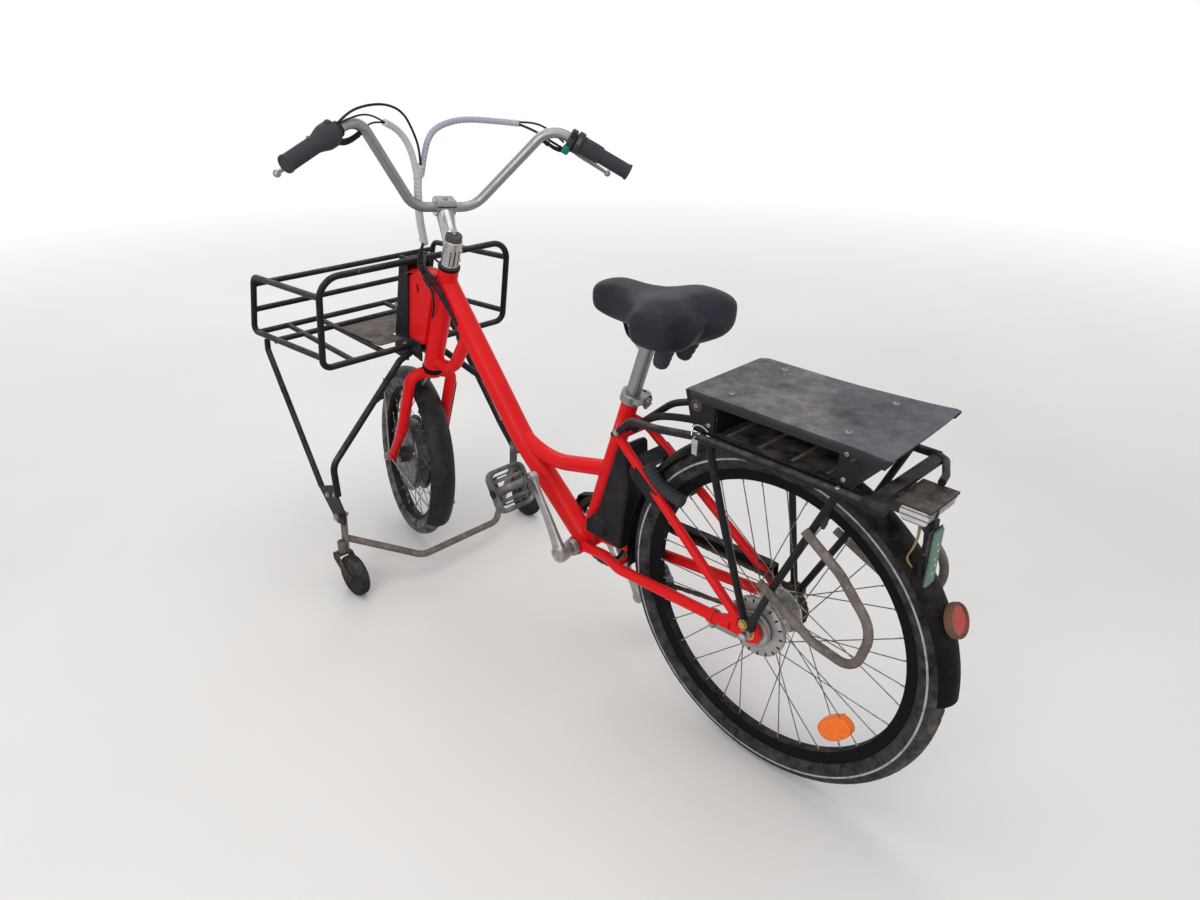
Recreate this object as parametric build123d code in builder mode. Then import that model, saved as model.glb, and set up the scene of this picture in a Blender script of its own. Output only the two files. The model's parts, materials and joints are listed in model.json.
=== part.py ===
from build123d import *
import math
import os

os.makedirs("parts", exist_ok=True)

# Electric delivery bicycle. Millimetres, X forward, Y to the rider's left, Z up.
# The origin is the ground point under the rear tyre, in the bicycle's middle plane.

# Rear wheel, a 26 inch one
REAR_R = 326.0
REAR_Z = REAR_R
TYRE_SECTION_R = 23.5
RIM_OUT_R = 286.0
RIM_IN_R = 262.0
RIM_HALF_W = 12.5
REAR_FLANGE_R = 42.0
REAR_FLANGE_Y = 27.0
REAR_DROPOUT_Y = 66.0
SPOKE_R = 1.0
SPOKE_COUNT = 36

# Bottom bracket and crankset
BB_X = 474.0
BB_Z = 274.0
BB_SHELL_R = 21.0
BB_HALF_W = 36.0
CRANK_LENGTH = 170.0
CRANK_Y = 78.0
CRANK_ANGLE = 60.0
PEDAL_TILT = -60.0
PEDAL_Y = 137.0
CHAIN_Y = -47.0
CHAINRING_R = 76.0
SPROCKET_R = 38.0

# Main frame tubes
HEAD_ANGLE = 69.6
HEAD_BOTTOM = Vector(1009, 0, 529)
HEAD_LENGTH = 272.0
HEAD_R = 23.0
STEERER_R = 14.3
BEARING_GAP = 0.05
SEAT_TOP = Vector(351, 0, 647.4)
POST_RISE = 118.0
SADDLE_Z = 796.0
SEAT_TUBE_R = 17.0
DOWN_TUBE_R = 25.0

# Steering, turned to the right as parked
PARKED_TURN = -15.5
FORK_RAKE = 32.0
FRONT_R = 220.0
FRONT_LIFT = 20.0
FRONT_Z = FRONT_R + FRONT_LIFT
FRONT_SECTION_R = 22.5
FRONT_RIM_OUT_R = 184.0
FRONT_RIM_IN_R = 170.0
FRONT_HUB_R = 92.0
FORK_HALF_W = 58.0

UP = Vector(-math.cos(math.radians(HEAD_ANGLE)), 0, math.sin(math.radians(HEAD_ANGLE)))
AHEAD = Vector(UP.Z, 0, -UP.X)
HEAD_TOP = HEAD_BOTTOM + UP * HEAD_LENGTH
STEER_AXIS = Axis(HEAD_BOTTOM, UP)
AXLE_DROP = (HEAD_BOTTOM.Z - FRONT_Z + AHEAD.Z * FORK_RAKE) / UP.Z
FRONT_AXLE = HEAD_BOTTOM - UP * AXLE_DROP + AHEAD * FORK_RAKE

# Rear mudguard and rack
GUARD_THICK = 2.0
REAR_GUARD_R = 339.0
REAR_GUARD_HALF_W = 31.0
FRONT_GUARD_R = 230.0
FRONT_GUARD_HALF_W = 30.0
DECK_FRONT_X = 141.0
DECK_REAR_X = -222.0
DECK_HALF_W = 104.0
DECK_Z = 756.0
RAIL_Z = 680.0
RAIL_Y = 108.0
RAIL_R = 7.0

# Front rack
HOOP_TOP_X = 1024.0
HOOP_BOTTOM_X = 1059.0
HOOP_TOP_Z = 785.0
HOOP_BOTTOM_Z = 573.0
RACK_HALF_W = 258.0
RACK_FRONT_TOP = (1345.0, 729.0)
RACK_FRONT_BOTTOM = (1393.0, 583.0)
RACK_TUBE_R = 7.5

# Folding front stand and its castors
STAND_Y = 276.0
STAND_PIVOT = (1045.0, 205.0)
CASTOR_X = 1056.0
CASTOR_TRAIL = 46.0
CASTOR_R = 52.0
CASTOR_HALF_W = 14.0
CASTOR_HEAD_Z = 122.0

# Handlebar
BAR_R = 11.0
GRIP_R = 16.5
BAR_CLAMP_UP = 380.0
BAR_CLAMP_AHEAD = 75.0
LEVER_DROP = math.radians(40)


def side(y):
    """Plane seen from the right, with local x along X and local y along Z."""
    return Plane.XZ.offset(-y)


def tube(points, bends, radius, bore=0.0):
    """Round tube along straight runs that tangent arcs join."""
    with BuildPart() as piece:
        with BuildLine() as path:
            if len(points) == 2:
                Line(*points)
            else:
                FilletPolyline(*points, radius=bends)
        with BuildSketch(Plane(origin=path.line @ 0, z_dir=path.line % 0)):
            Circle(radius)
            if bore > 0:
                Circle(bore, mode=Mode.SUBTRACT)
        sweep(path=path.line)
    return piece.part


def rod(start, end, radius, bore=0.0):
    """Straight round bar or sleeve from one point to another."""
    run = Vector(*end) - Vector(*start)
    with BuildPart() as piece:
        with BuildSketch(Plane(origin=Vector(*start), z_dir=run)):
            Circle(radius)
            if bore > 0:
                Circle(bore, mode=Mode.SUBTRACT)
        extrude(amount=run.length)
    return piece.part


def cone(start, end, radius_start, radius_end):
    """Tapered round bar from one point to another."""
    run = Vector(*end) - Vector(*start)
    with BuildPart() as piece:
        with BuildSketch(Plane(origin=Vector(*start), z_dir=run)):
            Circle(radius_start)
        with BuildSketch(Plane(origin=Vector(*end), z_dir=run)):
            Circle(radius_end)
        loft()
    return piece.part


def plate(outline, y, thickness, corner=0.0):
    """Flat plate in a plane across Y, centred on y."""
    with BuildPart() as piece:
        with BuildSketch(side(y + thickness / 2)) as shape:
            with BuildLine():
                Polyline(*outline, close=True)
            make_face()
            if corner > 0:
                fillet(shape.vertices(), corner)
        extrude(amount=thickness)
    return piece.part


def disc(x, z, y_from, y_to, radius, bore=0.0):
    """Round disc or ring on an axis along Y."""
    with BuildPart() as piece:
        with BuildSketch(side(y_to)):
            with Locations((x, z)):
                Circle(radius)
                if bore > 0:
                    Circle(bore, mode=Mode.SUBTRACT)
        extrude(amount=y_to - y_from)
    return piece.part


def box(x_from, x_to, y_from, y_to, z_from, z_to):
    """Plain block between two corners."""
    with BuildPart() as piece:
        with Locations(((x_from + x_to) / 2, (y_from + y_to) / 2, (z_from + z_to) / 2)):
            Box(x_to - x_from, y_to - y_from, z_to - z_from)
    return piece.part


def mirrored(shape):
    """The same piece on the other side of the middle plane."""
    return shape.mirror(Plane.XZ)


def save(part, name):
    """Label a finished piece and write it."""
    part.label = name
    export_step(part, f"parts/{name}.step")


def turned(part):
    """A piece of the steering, turned from straight ahead to where it is parked."""
    return part.rotate(STEER_AXIS, PARKED_TURN)


def tyre(centre_x, centre_z, outer_r, section_r, rim_r, rim_half_w):
    """Tyre with a seat for its rim."""
    with BuildPart() as piece:
        with BuildSketch(Plane.YZ.offset(centre_x)):
            with Locations((0, centre_z + outer_r - section_r)):
                Circle(section_r)
            with Locations((0, centre_z + rim_r - 20)):
                Rectangle(2 * rim_half_w + 0.6, 40.6, mode=Mode.SUBTRACT)
            with Locations((0, centre_z + rim_r - 60)):
                Rectangle(200, 101.0, mode=Mode.SUBTRACT)
        revolve(axis=Axis((centre_x, 0, centre_z), (0, 1, 0)))
    return piece.part


def rim(centre_x, centre_z, out_r, in_r, half_w, inner_half_w):
    """Rim with sloping sides."""
    with BuildPart() as piece:
        with BuildSketch(Plane.YZ.offset(centre_x)):
            with BuildLine():
                Polyline(
                    (-half_w, centre_z + out_r),
                    (half_w, centre_z + out_r),
                    (half_w, centre_z + (out_r * 2 + in_r) / 3),
                    (inner_half_w, centre_z + in_r),
                    (-inner_half_w, centre_z + in_r),
                    (-half_w, centre_z + (out_r * 2 + in_r) / 3),
                    close=True,
                )
            make_face()
        revolve(axis=Axis((centre_x, 0, centre_z), (0, 1, 0)))
    return piece.part


def spokes(centre_x, centre_z, flange_r, flange_y, rim_r, lead, count):
    """Crossed spokes, half of them to each flange, pulling both ways in turn."""
    step = 360.0 / count
    bars = []
    for index in range(count):
        flank = 1 if index % 2 == 0 else -1
        pull = 1 if (index // 2) % 2 == 0 else -1
        rim_angle = math.radians(index * step)
        hub_angle = math.radians(index * step + pull * lead)
        inset = 1.7 * pull
        start = (
            centre_x + flange_r * math.cos(hub_angle),
            flank * flange_y + inset,
            centre_z + flange_r * math.sin(hub_angle),
        )
        end = (
            centre_x + rim_r * math.cos(rim_angle),
            flank * 2.5,
            centre_z + rim_r * math.sin(rim_angle),
        )
        bars.append(rod(start, end, SPOKE_R))
    return bars


def guard(centre_x, centre_z, radius, half_w, thick, angle_from, angle_to, crown=14.0):
    """Mudguard of arched section round a wheel, between two angles from ahead."""
    start = math.radians(angle_from)
    out = Vector(math.cos(start), 0, math.sin(start))
    section = Plane(
        origin=Vector(centre_x, 0, centre_z) + out * (radius - crown),
        x_dir=(0, 1, 0),
        z_dir=out.cross(Vector(0, 1, 0)) * -1,
    )
    flip = 1 if section.y_dir.dot(out) > 0 else -1
    with BuildPart() as piece:
        with BuildSketch(section):
            with BuildLine():
                ThreePointArc((-half_w, 0), (0, flip * crown), (half_w, 0))
                Line((half_w, 0), (half_w + thick, 0))
                ThreePointArc((half_w + thick, 0), (0, flip * (crown + thick)), (-half_w - thick, 0))
                Line((-half_w - thick, 0), (-half_w, 0))
            make_face()
        revolve(
            axis=Axis((centre_x, 0, centre_z), (0, -1, 0)),
            revolution_arc=angle_to - angle_from,
        )
    return piece.part


# Main frame
# Head tube, the big kinked down tube, the second tube behind the kink, the seat tube and the
# bottom bracket shell are welded into one.
head_join = HEAD_BOTTOM + UP * 233
kink = Vector(678, 0, 446)
bracket = Vector(BB_X, 0, BB_Z)
steerer_bore = STEERER_R + BEARING_GAP

with BuildPart() as main_frame:
    add(rod(HEAD_BOTTOM, HEAD_TOP, HEAD_R))
    add(tube([head_join, kink, bracket], [260], DOWN_TUBE_R))
    add(tube([Vector(700, 0, 462), Vector(585, 0, 424), Vector(412, 0, 470)], [190], 17.0))
    add(tube([HEAD_BOTTOM + UP * 24, Vector(935, 0, 527), Vector(860, 0, 640)], [60], 15.0))
    add(rod(bracket, SEAT_TOP, SEAT_TUBE_R))
    add(rod((BB_X, -BB_HALF_W, BB_Z), (BB_X, BB_HALF_W, BB_Z), BB_SHELL_R))
    seat_line = (SEAT_TOP - bracket).normalized()
    add(
        rod(SEAT_TOP - seat_line * 170, SEAT_TOP + seat_line * 5, 14.3),
        mode=Mode.SUBTRACT,
    )
    add(
        rod(HEAD_BOTTOM - UP * 40, HEAD_TOP + UP * 40, steerer_bore),
        mode=Mode.SUBTRACT,
    )
    add(
        rod((BB_X, -60, BB_Z), (BB_X, 60, BB_Z), 10.05),
        mode=Mode.SUBTRACT,
    )
save(main_frame.part, "main_frame")

# Chain stays, seat stays and slotted dropouts
def chain_stay(flank, radius):
    """Chain stay of one side, that waists in behind the chainring."""
    return tube(
        [
            Vector(BB_X - 10, flank * 26, BB_Z + 1),
            Vector(391, flank * 28.5, 284),
            Vector(331, flank * 50, 290),
            Vector(40, flank * 64, 318),
        ],
        [60, 60],
        radius,
    )


def seat_stay(flank, radius):
    """Seat stay of one side."""
    return tube(
        [
            Vector(366, flank * 12, 596),
            Vector(345, flank * 40, 574),
            Vector(26, flank * 63, 336),
        ],
        [40],
        radius,
    )


dropout_outline = [
    (62, 312),
    (66, 330),
    (20, 350),
    (-14, 346),
    (-24, 330),
    (-20, 312),
    (0, 305),
]
with BuildPart() as rear_stays:
    for flank in (1, -1):
        add(chain_stay(flank, 11.0))
        add(seat_stay(flank, 9.0))
        add(plate(dropout_outline, flank * REAR_DROPOUT_Y, 7.0))
        add(
            rod((0, flank * 50, REAR_Z), (0, flank * 80, REAR_Z), 5.6),
            mode=Mode.SUBTRACT,
        )
    add(rod((352, -44, 572), (352, 44, 572), 7.0))
    add(rod((345.3, -48, 289), (345.3, 48, 289), 6.0))
    add(rod(bracket, SEAT_TOP, SEAT_TUBE_R + 0.05), mode=Mode.SUBTRACT)
    add(rod((BB_X, -60, BB_Z), (BB_X, 60, BB_Z), BB_SHELL_R + 0.05), mode=Mode.SUBTRACT)
    add(tube([head_join, kink, bracket], [260], DOWN_TUBE_R + 0.05), mode=Mode.SUBTRACT)
save(rear_stays.part, "rear_stays")

# Sheet shield between the head tube and the front rack, with its small slot
shield_outline = [
    (1046, 742),
    (1066, 596),
    (1001, 589),
    (944, 742),
    (962, 762),
    (1004, 764),
]
with BuildPart() as shield:
    for flank in (1, -1):
        add(plate(shield_outline, flank * 24.6, 2.4))
    add(plate(shield_outline, 0, 48.0))
    add(
        plate([(1042, 736), (1062, 600), (1004, 592), (948, 742), (966, 758), (1000, 760)], 0, 46.0),
        mode=Mode.SUBTRACT,
    )
    add(box(1003, 1011, 10, 40, 714, 733), mode=Mode.SUBTRACT)
    add(
        rod(HEAD_BOTTOM - UP * 20, HEAD_TOP + UP * 20, HEAD_R + 0.05),
        mode=Mode.SUBTRACT,
    )
save(shield.part, "head_shield")

# Front rack: a leaning rear hoop, two side loops, cross bars and floor bars
hoop_side_x = HOOP_TOP_X + (HOOP_BOTTOM_X - HOOP_TOP_X) * 0.2
floor_z = HOOP_BOTTOM_Z + 3
front_mid_x = RACK_FRONT_TOP[0] + (RACK_FRONT_BOTTOM[0] - RACK_FRONT_TOP[0]) * 0.6
front_mid_z = RACK_FRONT_TOP[1] + (RACK_FRONT_BOTTOM[1] - RACK_FRONT_TOP[1]) * 0.6
cross_bars = [  # x, z of each bar across the rack
    (RACK_FRONT_TOP[0] + 6.6, RACK_FRONT_TOP[1] - 20),
    (front_mid_x, front_mid_z),
    (RACK_FRONT_BOTTOM[0] - 25, RACK_FRONT_BOTTOM[1] + 2.5),
    (1290.0, 582.3),
]
floor_bar_y = (180.0, 98.0, -98.0, -180.0)
with BuildPart() as front_rack:
    for flank in (1, -1):
        add(
            tube(
                [
                    Vector(HOOP_BOTTOM_X, 0, HOOP_BOTTOM_Z),
                    Vector(HOOP_BOTTOM_X, flank * RACK_HALF_W, HOOP_BOTTOM_Z),
                    Vector(HOOP_TOP_X, flank * RACK_HALF_W, HOOP_TOP_Z),
                    Vector(HOOP_TOP_X, 0, HOOP_TOP_Z),
                ],
                [22, 48],
                RACK_TUBE_R,
            )
        )
        add(
            tube(
                [
                    Vector(hoop_side_x, flank * RACK_HALF_W, 743),
                    Vector(RACK_FRONT_TOP[0], flank * RACK_HALF_W, RACK_FRONT_TOP[1]),
                    Vector(RACK_FRONT_BOTTOM[0], flank * RACK_HALF_W, RACK_FRONT_BOTTOM[1]),
                    Vector(HOOP_BOTTOM_X - 2, flank * RACK_HALF_W, floor_z + 24),
                ],
                [26, 14],
                RACK_TUBE_R - 0.3,
            )
        )
    for bar_x, bar_z in cross_bars:
        add(rod((bar_x, 2 - RACK_HALF_W, bar_z), (bar_x, RACK_HALF_W - 2, bar_z), 6.9))
    for bar_y in floor_bar_y:
        add(
            rod(
                (HOOP_BOTTOM_X, bar_y, HOOP_BOTTOM_Z),
                (RACK_FRONT_BOTTOM[0] - 25, bar_y, RACK_FRONT_BOTTOM[1] + 2.5),
                6.5,
            )
        )
save(front_rack.part, "front_rack")

# Sheet plate on the rack's floor, with small fittings under it
with BuildPart() as rack_plate:
    with BuildSketch(Plane.XY.offset(587.5)) as plate_shape:
        with Locations((1159, 0)):
            Rectangle(182, 208)
        fillet(plate_shape.vertices(), 6)
        with Locations((1088, 0)):
            Rectangle(74, 72, mode=Mode.SUBTRACT)
    extrude(amount=2.5)
    for stud_x, stud_y in ((1150, 60), (1150, -60), (1222, 60), (1222, -60)):
        add(rod((stud_x, stud_y, 572), (stud_x, stud_y, 588), 6.0))
save(rack_plate.part, "front_rack_plate")

# Stand struts: a front and a rear strut on each side, welded to a side plate
side_plate_outline = [(1128, 255), (1058, 284), (1020, 226), (1028, 186), (1060, 182)]
with BuildPart() as stand_struts:
    add(rod((1060, -34, 557.4), (1060, 34, 557.4), 8.0))
    for flank in (1, -1):
        add(
            tube(
                [
                    Vector(1060, flank * 20, 557.4),
                    Vector(1058, flank * 60, 543),
                    Vector(1043, flank * STAND_Y, 341),
                    Vector(1040, flank * STAND_Y, 262),
                ],
                [30, 42],
                8.0,
            )
        )
        add(
            tube(
                [
                    Vector(1328, flank * 258, 577),
                    Vector(1326, flank * 261, 552),
                    Vector(1118, flank * STAND_Y, 258),
                ],
                [16],
                7.0,
            )
        )
        add(plate(side_plate_outline, flank * STAND_Y, 5.0))
        add(plate([(1290, 492), (1276, 456), (1262, 462), (1276, 498)], flank * 266.0, 4.0))
        add(
            disc(STAND_PIVOT[0], STAND_PIVOT[1], flank * STAND_Y - 4, flank * STAND_Y + 4, 5.05),
            mode=Mode.SUBTRACT,
        )
    add(front_rack.part, mode=Mode.SUBTRACT)
save(stand_struts.part, "stand_struts")

# Upright channel that carries the front rack, and its lower bracket
with BuildPart() as channel:
    for flank in (1, -1):
        add(plate([(1062, 792), (1126, 538), (1070, 532), (1029, 792)], flank * 29.0, 4.0))
    add(plate([(1047, 790), (1072, 598), (1068, 597), (1043, 789)], 0, 62.0))
    add(plate([(1074, 597), (1077, 560), (1012, 545), (1008, 590)], 28.0, 4.0))
    add(plate([(1074, 597), (1077, 560), (1012, 545), (1008, 590)], -28.0, 4.0))
    add(front_rack.part, mode=Mode.SUBTRACT)
    add(stand_struts.part, mode=Mode.SUBTRACT)
save(channel.part, "rack_channel")

with BuildPart() as stand_spring:
    add(rod((1030.2, -226, 392), (1028.4, -262, 350), 8.0))
    add(stand_struts.part, mode=Mode.SUBTRACT)
save(stand_spring.part, "stand_spring")

# Folding legs of the stand, joined by a low bar behind the front wheel
with BuildPart() as folding_stand:
    for flank in (1, -1):
        inner = flank * (STAND_Y - 9)
        add(
            plate(
                [
                    (STAND_PIVOT[0] - 14, STAND_PIVOT[1] + 10),
                    (STAND_PIVOT[0] + 14, STAND_PIVOT[1] + 10),
                    (CASTOR_X + 12, CASTOR_HEAD_Z - 22),
                    (CASTOR_X - 12, CASTOR_HEAD_Z - 22),
                ],
                inner,
                5.0,
            )
        )
        add(
            rod(
                (STAND_PIVOT[0], flank * (STAND_Y - 14), STAND_PIVOT[1]),
                (STAND_PIVOT[0], flank * (STAND_Y + 10), STAND_PIVOT[1]),
                5.0,
            )
        )
        add(
            rod(
                (CASTOR_X, flank * STAND_Y, CASTOR_HEAD_Z - 22),
                (CASTOR_X, flank * STAND_Y, CASTOR_HEAD_Z + 6),
                11.0,
                6.05,
            )
        )
    add(
        tube(
            [
                Vector(1056, STAND_Y - 12, 134),
                Vector(949, 117, 66),
                Vector(949, -117, 66),
                Vector(1056, 12 - STAND_Y, 134),
            ],
            [46, 46],
            8.5,
        )
    )
save(folding_stand.part, "folding_stand")

# Two castors, each a swivelling fork and a wheel
for hand, flank in (("left", 1), ("right", -1)):
    with BuildPart() as castor_fork:
        add(
            rod(
                (CASTOR_X, flank * STAND_Y, CASTOR_HEAD_Z - 24),
                (CASTOR_X, flank * STAND_Y, CASTOR_HEAD_Z + 10),
                6.0,
            )
        )
        add(
            box(
                CASTOR_X - 12,
                CASTOR_X + 14,
                flank * STAND_Y - 20,
                flank * STAND_Y + 20,
                CASTOR_HEAD_Z - 27,
                CASTOR_HEAD_Z - 23.5,
            )
        )
        for cheek in (-18.5, 18.5):
            add(
                plate(
                    [
                        (CASTOR_X + 14, CASTOR_HEAD_Z - 24),
                        (CASTOR_X - 12, CASTOR_HEAD_Z - 24),
                        (CASTOR_X - CASTOR_TRAIL - 9, CASTOR_R + 6),
                        (CASTOR_X - CASTOR_TRAIL - 7, CASTOR_R - 8),
                        (CASTOR_X - CASTOR_TRAIL + 9, CASTOR_R - 9),
                        (CASTOR_X + 14, CASTOR_HEAD_Z - 40),
                    ],
                    flank * STAND_Y + cheek,
                    3.0,
                )
            )
        castor_axle_x = CASTOR_X - CASTOR_TRAIL
        add(disc(castor_axle_x, CASTOR_R, flank * STAND_Y - 25, flank * STAND_Y + 25, 4.0))
    save(castor_fork.part, f"castor_fork_{hand}")
    with BuildPart() as castor_wheel:
        add(
            disc(
                castor_axle_x,
                CASTOR_R,
                flank * STAND_Y - CASTOR_HALF_W,
                flank * STAND_Y + CASTOR_HALF_W,
                CASTOR_R,
                4.05,
            )
        )
        fillet(castor_wheel.edges().filter_by(GeomType.CIRCLE).group_by(lambda e: e.radius)[-1], 9)
    save(castor_wheel.part, f"castor_wheel_{hand}")

# Seat post with its clamps, saddle rails with the rubber springs, and the saddle
seat_up = seat_line
post_top = SEAT_TOP + seat_up * POST_RISE
with BuildPart() as seat_post:
    add(rod(SEAT_TOP - seat_up * 165, post_top, 14.25))
    add(rod((post_top.X, -24, post_top.Z + 8), (post_top.X, 24, post_top.Z + 8), 13.0))
    add(rod(SEAT_TOP - seat_up * 6, SEAT_TOP + seat_up * 6, 21.0, SEAT_TUBE_R + 0.05))
    add(box(SEAT_TOP.X - 28, SEAT_TOP.X - 16, -15, 15, SEAT_TOP.Z - 9, SEAT_TOP.Z + 3))
    add(rod(bracket, SEAT_TOP + seat_up * 3, SEAT_TUBE_R + 0.05), mode=Mode.SUBTRACT)
    add(rod(SEAT_TOP - seat_up * 165, post_top, 14.25))
save(seat_post.part, "seat_post")

rail_z = post_top.Z + 10
with BuildPart() as saddle_rails:
    for flank in (1, -1):
        add(
            tube(
                [
                    Vector(436, flank * 9, 812),
                    Vector(394, flank * 20, rail_z),
                    Vector(266, flank * 24, rail_z),
                    Vector(214, flank * 44, 800),
                ],
                [30, 40],
                3.5,
            )
        )
        add(cone((258, flank * 30, 744), (236, flank * 38, 798), 13.0, 18.0))
    add(rod((post_top.X, -24, post_top.Z + 8), (post_top.X, 24, post_top.Z + 8), 13.05), mode=Mode.SUBTRACT)
    add(box(160, 470, -130, 130, SADDLE_Z - 0.2, 900), mode=Mode.SUBTRACT)
save(saddle_rails.part, "saddle_rails")

with BuildPart() as saddle:
    with BuildSketch(Plane.XY.offset(SADDLE_Z)) as saddle_plan:
        with BuildLine():
            half = Polyline((452, 0), (448, 16), (434, 27), (376, 33), (326, 52), (268, 92))
            half_rear = Polyline((268, 92), (226, 110), (194, 102), (180, 70), (184, 30), (188, 0))
            mirror(half, about=Plane.XZ)
            mirror(half_rear, about=Plane.XZ)
        make_face()
    extrude(amount=72)
    with BuildSketch(side(140)):
        with BuildLine():
            Polyline((160, 869), (160, 900), (470, 900), (470, 846), (410, 861), (320, 853), (226, 866), close=True)
        make_face()
    extrude(amount=280, mode=Mode.SUBTRACT)
save(saddle.part, "saddle")

# Battery and controller case behind the seat tube
case_outline = [(359, 546), (336, 558), (330, 465), (350, 318), (448, 322), (446, 350), (414, 380)]
rail_outline = [(385, 540), (345, 540), (360, 340), (448, 340)]
with BuildPart() as controller_case:
    with BuildSketch(side(32)) as case_shape:
        with BuildLine():
            Polyline(*case_outline, close=True)
        make_face()
        fillet(case_shape.vertices().sort_by(Axis.X)[:2], 8)
    extrude(amount=64)
    chamfer(controller_case.faces().sort_by(Axis.Y)[-1].edges(), 3)
    chamfer(controller_case.faces().sort_by(Axis.Y)[0].edges(), 3)
    add(cone((404, 27, 352), (404, 40, 352), 27.0, 17.0))
    add(plate(rail_outline, 0, 24.0))
    add(rod(bracket, SEAT_TOP, SEAT_TUBE_R + 0.3), mode=Mode.SUBTRACT)
    for flank in (1, -1):
        add(chain_stay(flank, 11.3), mode=Mode.SUBTRACT)
save(controller_case.part, "controller_case")

# Ring lock on the seat stays
lock_angle = math.radians(34)
lock_out = Vector(math.cos(lock_angle), 0, math.sin(lock_angle))
lock_along = Vector(math.sin(lock_angle), 0, -math.cos(lock_angle))
lock_plane = Plane(
    origin=Vector(0, 0, REAR_Z) + lock_out * 358 - lock_along * 13,
    x_dir=(0, 1, 0),
    z_dir=lock_along,
)
lock_flip = 1 if lock_plane.y_dir.dot(lock_out) > 0 else -1
with BuildPart() as ring_lock:
    with BuildSketch(lock_plane) as lock_shape:
        with Locations((0, -lock_flip * 36)):
            Rectangle(112, 112)
        fillet(lock_shape.vertices().sort_by(Axis((0, 0, 0), lock_out))[-2:], 34)
        with Locations((0, -lock_flip * 62)):
            Rectangle(76, 112, mode=Mode.SUBTRACT)
    extrude(amount=26)
    for flank in (1, -1):
        add(seat_stay(flank, 9.05), mode=Mode.SUBTRACT)
save(ring_lock.part, "ring_lock")

# Rear mudguard and the round reflector on it
with BuildPart() as rear_mudguard:
    add(guard(0, REAR_Z, REAR_GUARD_R, REAR_GUARD_HALF_W, GUARD_THICK, -8, 177))
    add(rod((30, 0, REAR_Z + REAR_GUARD_R - 0.4), (30, 0, 687), 5.0))
    add(rear_stays.part, mode=Mode.SUBTRACT)
save(rear_mudguard.part, "rear_mudguard")

reflector_angle = math.radians(153)
reflector_out = Vector(math.cos(reflector_angle), 0, math.sin(reflector_angle))
reflector_foot = Vector(0, 0, REAR_Z) + reflector_out * (REAR_GUARD_R + GUARD_THICK)
with BuildPart() as round_reflector:
    add(rod(reflector_foot, reflector_foot + reflector_out * 8, 9.0))
    add(rod(reflector_foot + reflector_out * 6, reflector_foot + reflector_out * 15, 27.0))
save(round_reflector.part, "round_reflector")

# Rear rack: deck plate, housing of the empty battery bay, tubes
with BuildPart() as rack_deck:
    add(box(DECK_REAR_X, DECK_FRONT_X, -DECK_HALF_W, DECK_HALF_W, DECK_Z - 3, DECK_Z))
    for flank in (1, -1):
        edge = flank * (DECK_HALF_W - 1)
        add(box(DECK_REAR_X, DECK_FRONT_X - 14, edge - 1, edge + 1, DECK_Z - 14, DECK_Z - 2))
save(rack_deck.part, "rack_deck")

front_cheek = [(141, 752), (80, 752), (80, 690), (118, 690), (128, 704)]
with BuildPart() as battery_bay:
    for flank in (1, -1):
        add(plate(front_cheek, flank * (DECK_HALF_W - 4), 4.0))
        add(box(-166, -142, flank * (DECK_HALF_W - 4) - 2, flank * (DECK_HALF_W - 4) + 2, 690, 752))
        add(box(-166, 124, flank * (DECK_HALF_W - 8) - 6, flank * (DECK_HALF_W - 8) + 6, 686, 692))
    add(box(77, 82, -99, 99, 688, 752))
    add(box(-166, -162, -99, 99, 688, 752))
    add(box(-166, 124, -99, 99, 687, 690))
    add(box(-164, 81, -DECK_HALF_W + 3, -DECK_HALF_W + 5.5, 688, 752))
    for slot_x in (24, -98):
        add(box(slot_x - 10, slot_x + 10, -DECK_HALF_W, -DECK_HALF_W + 10, 712, 718), mode=Mode.SUBTRACT)
save(battery_bay.part, "battery_bay")

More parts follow.
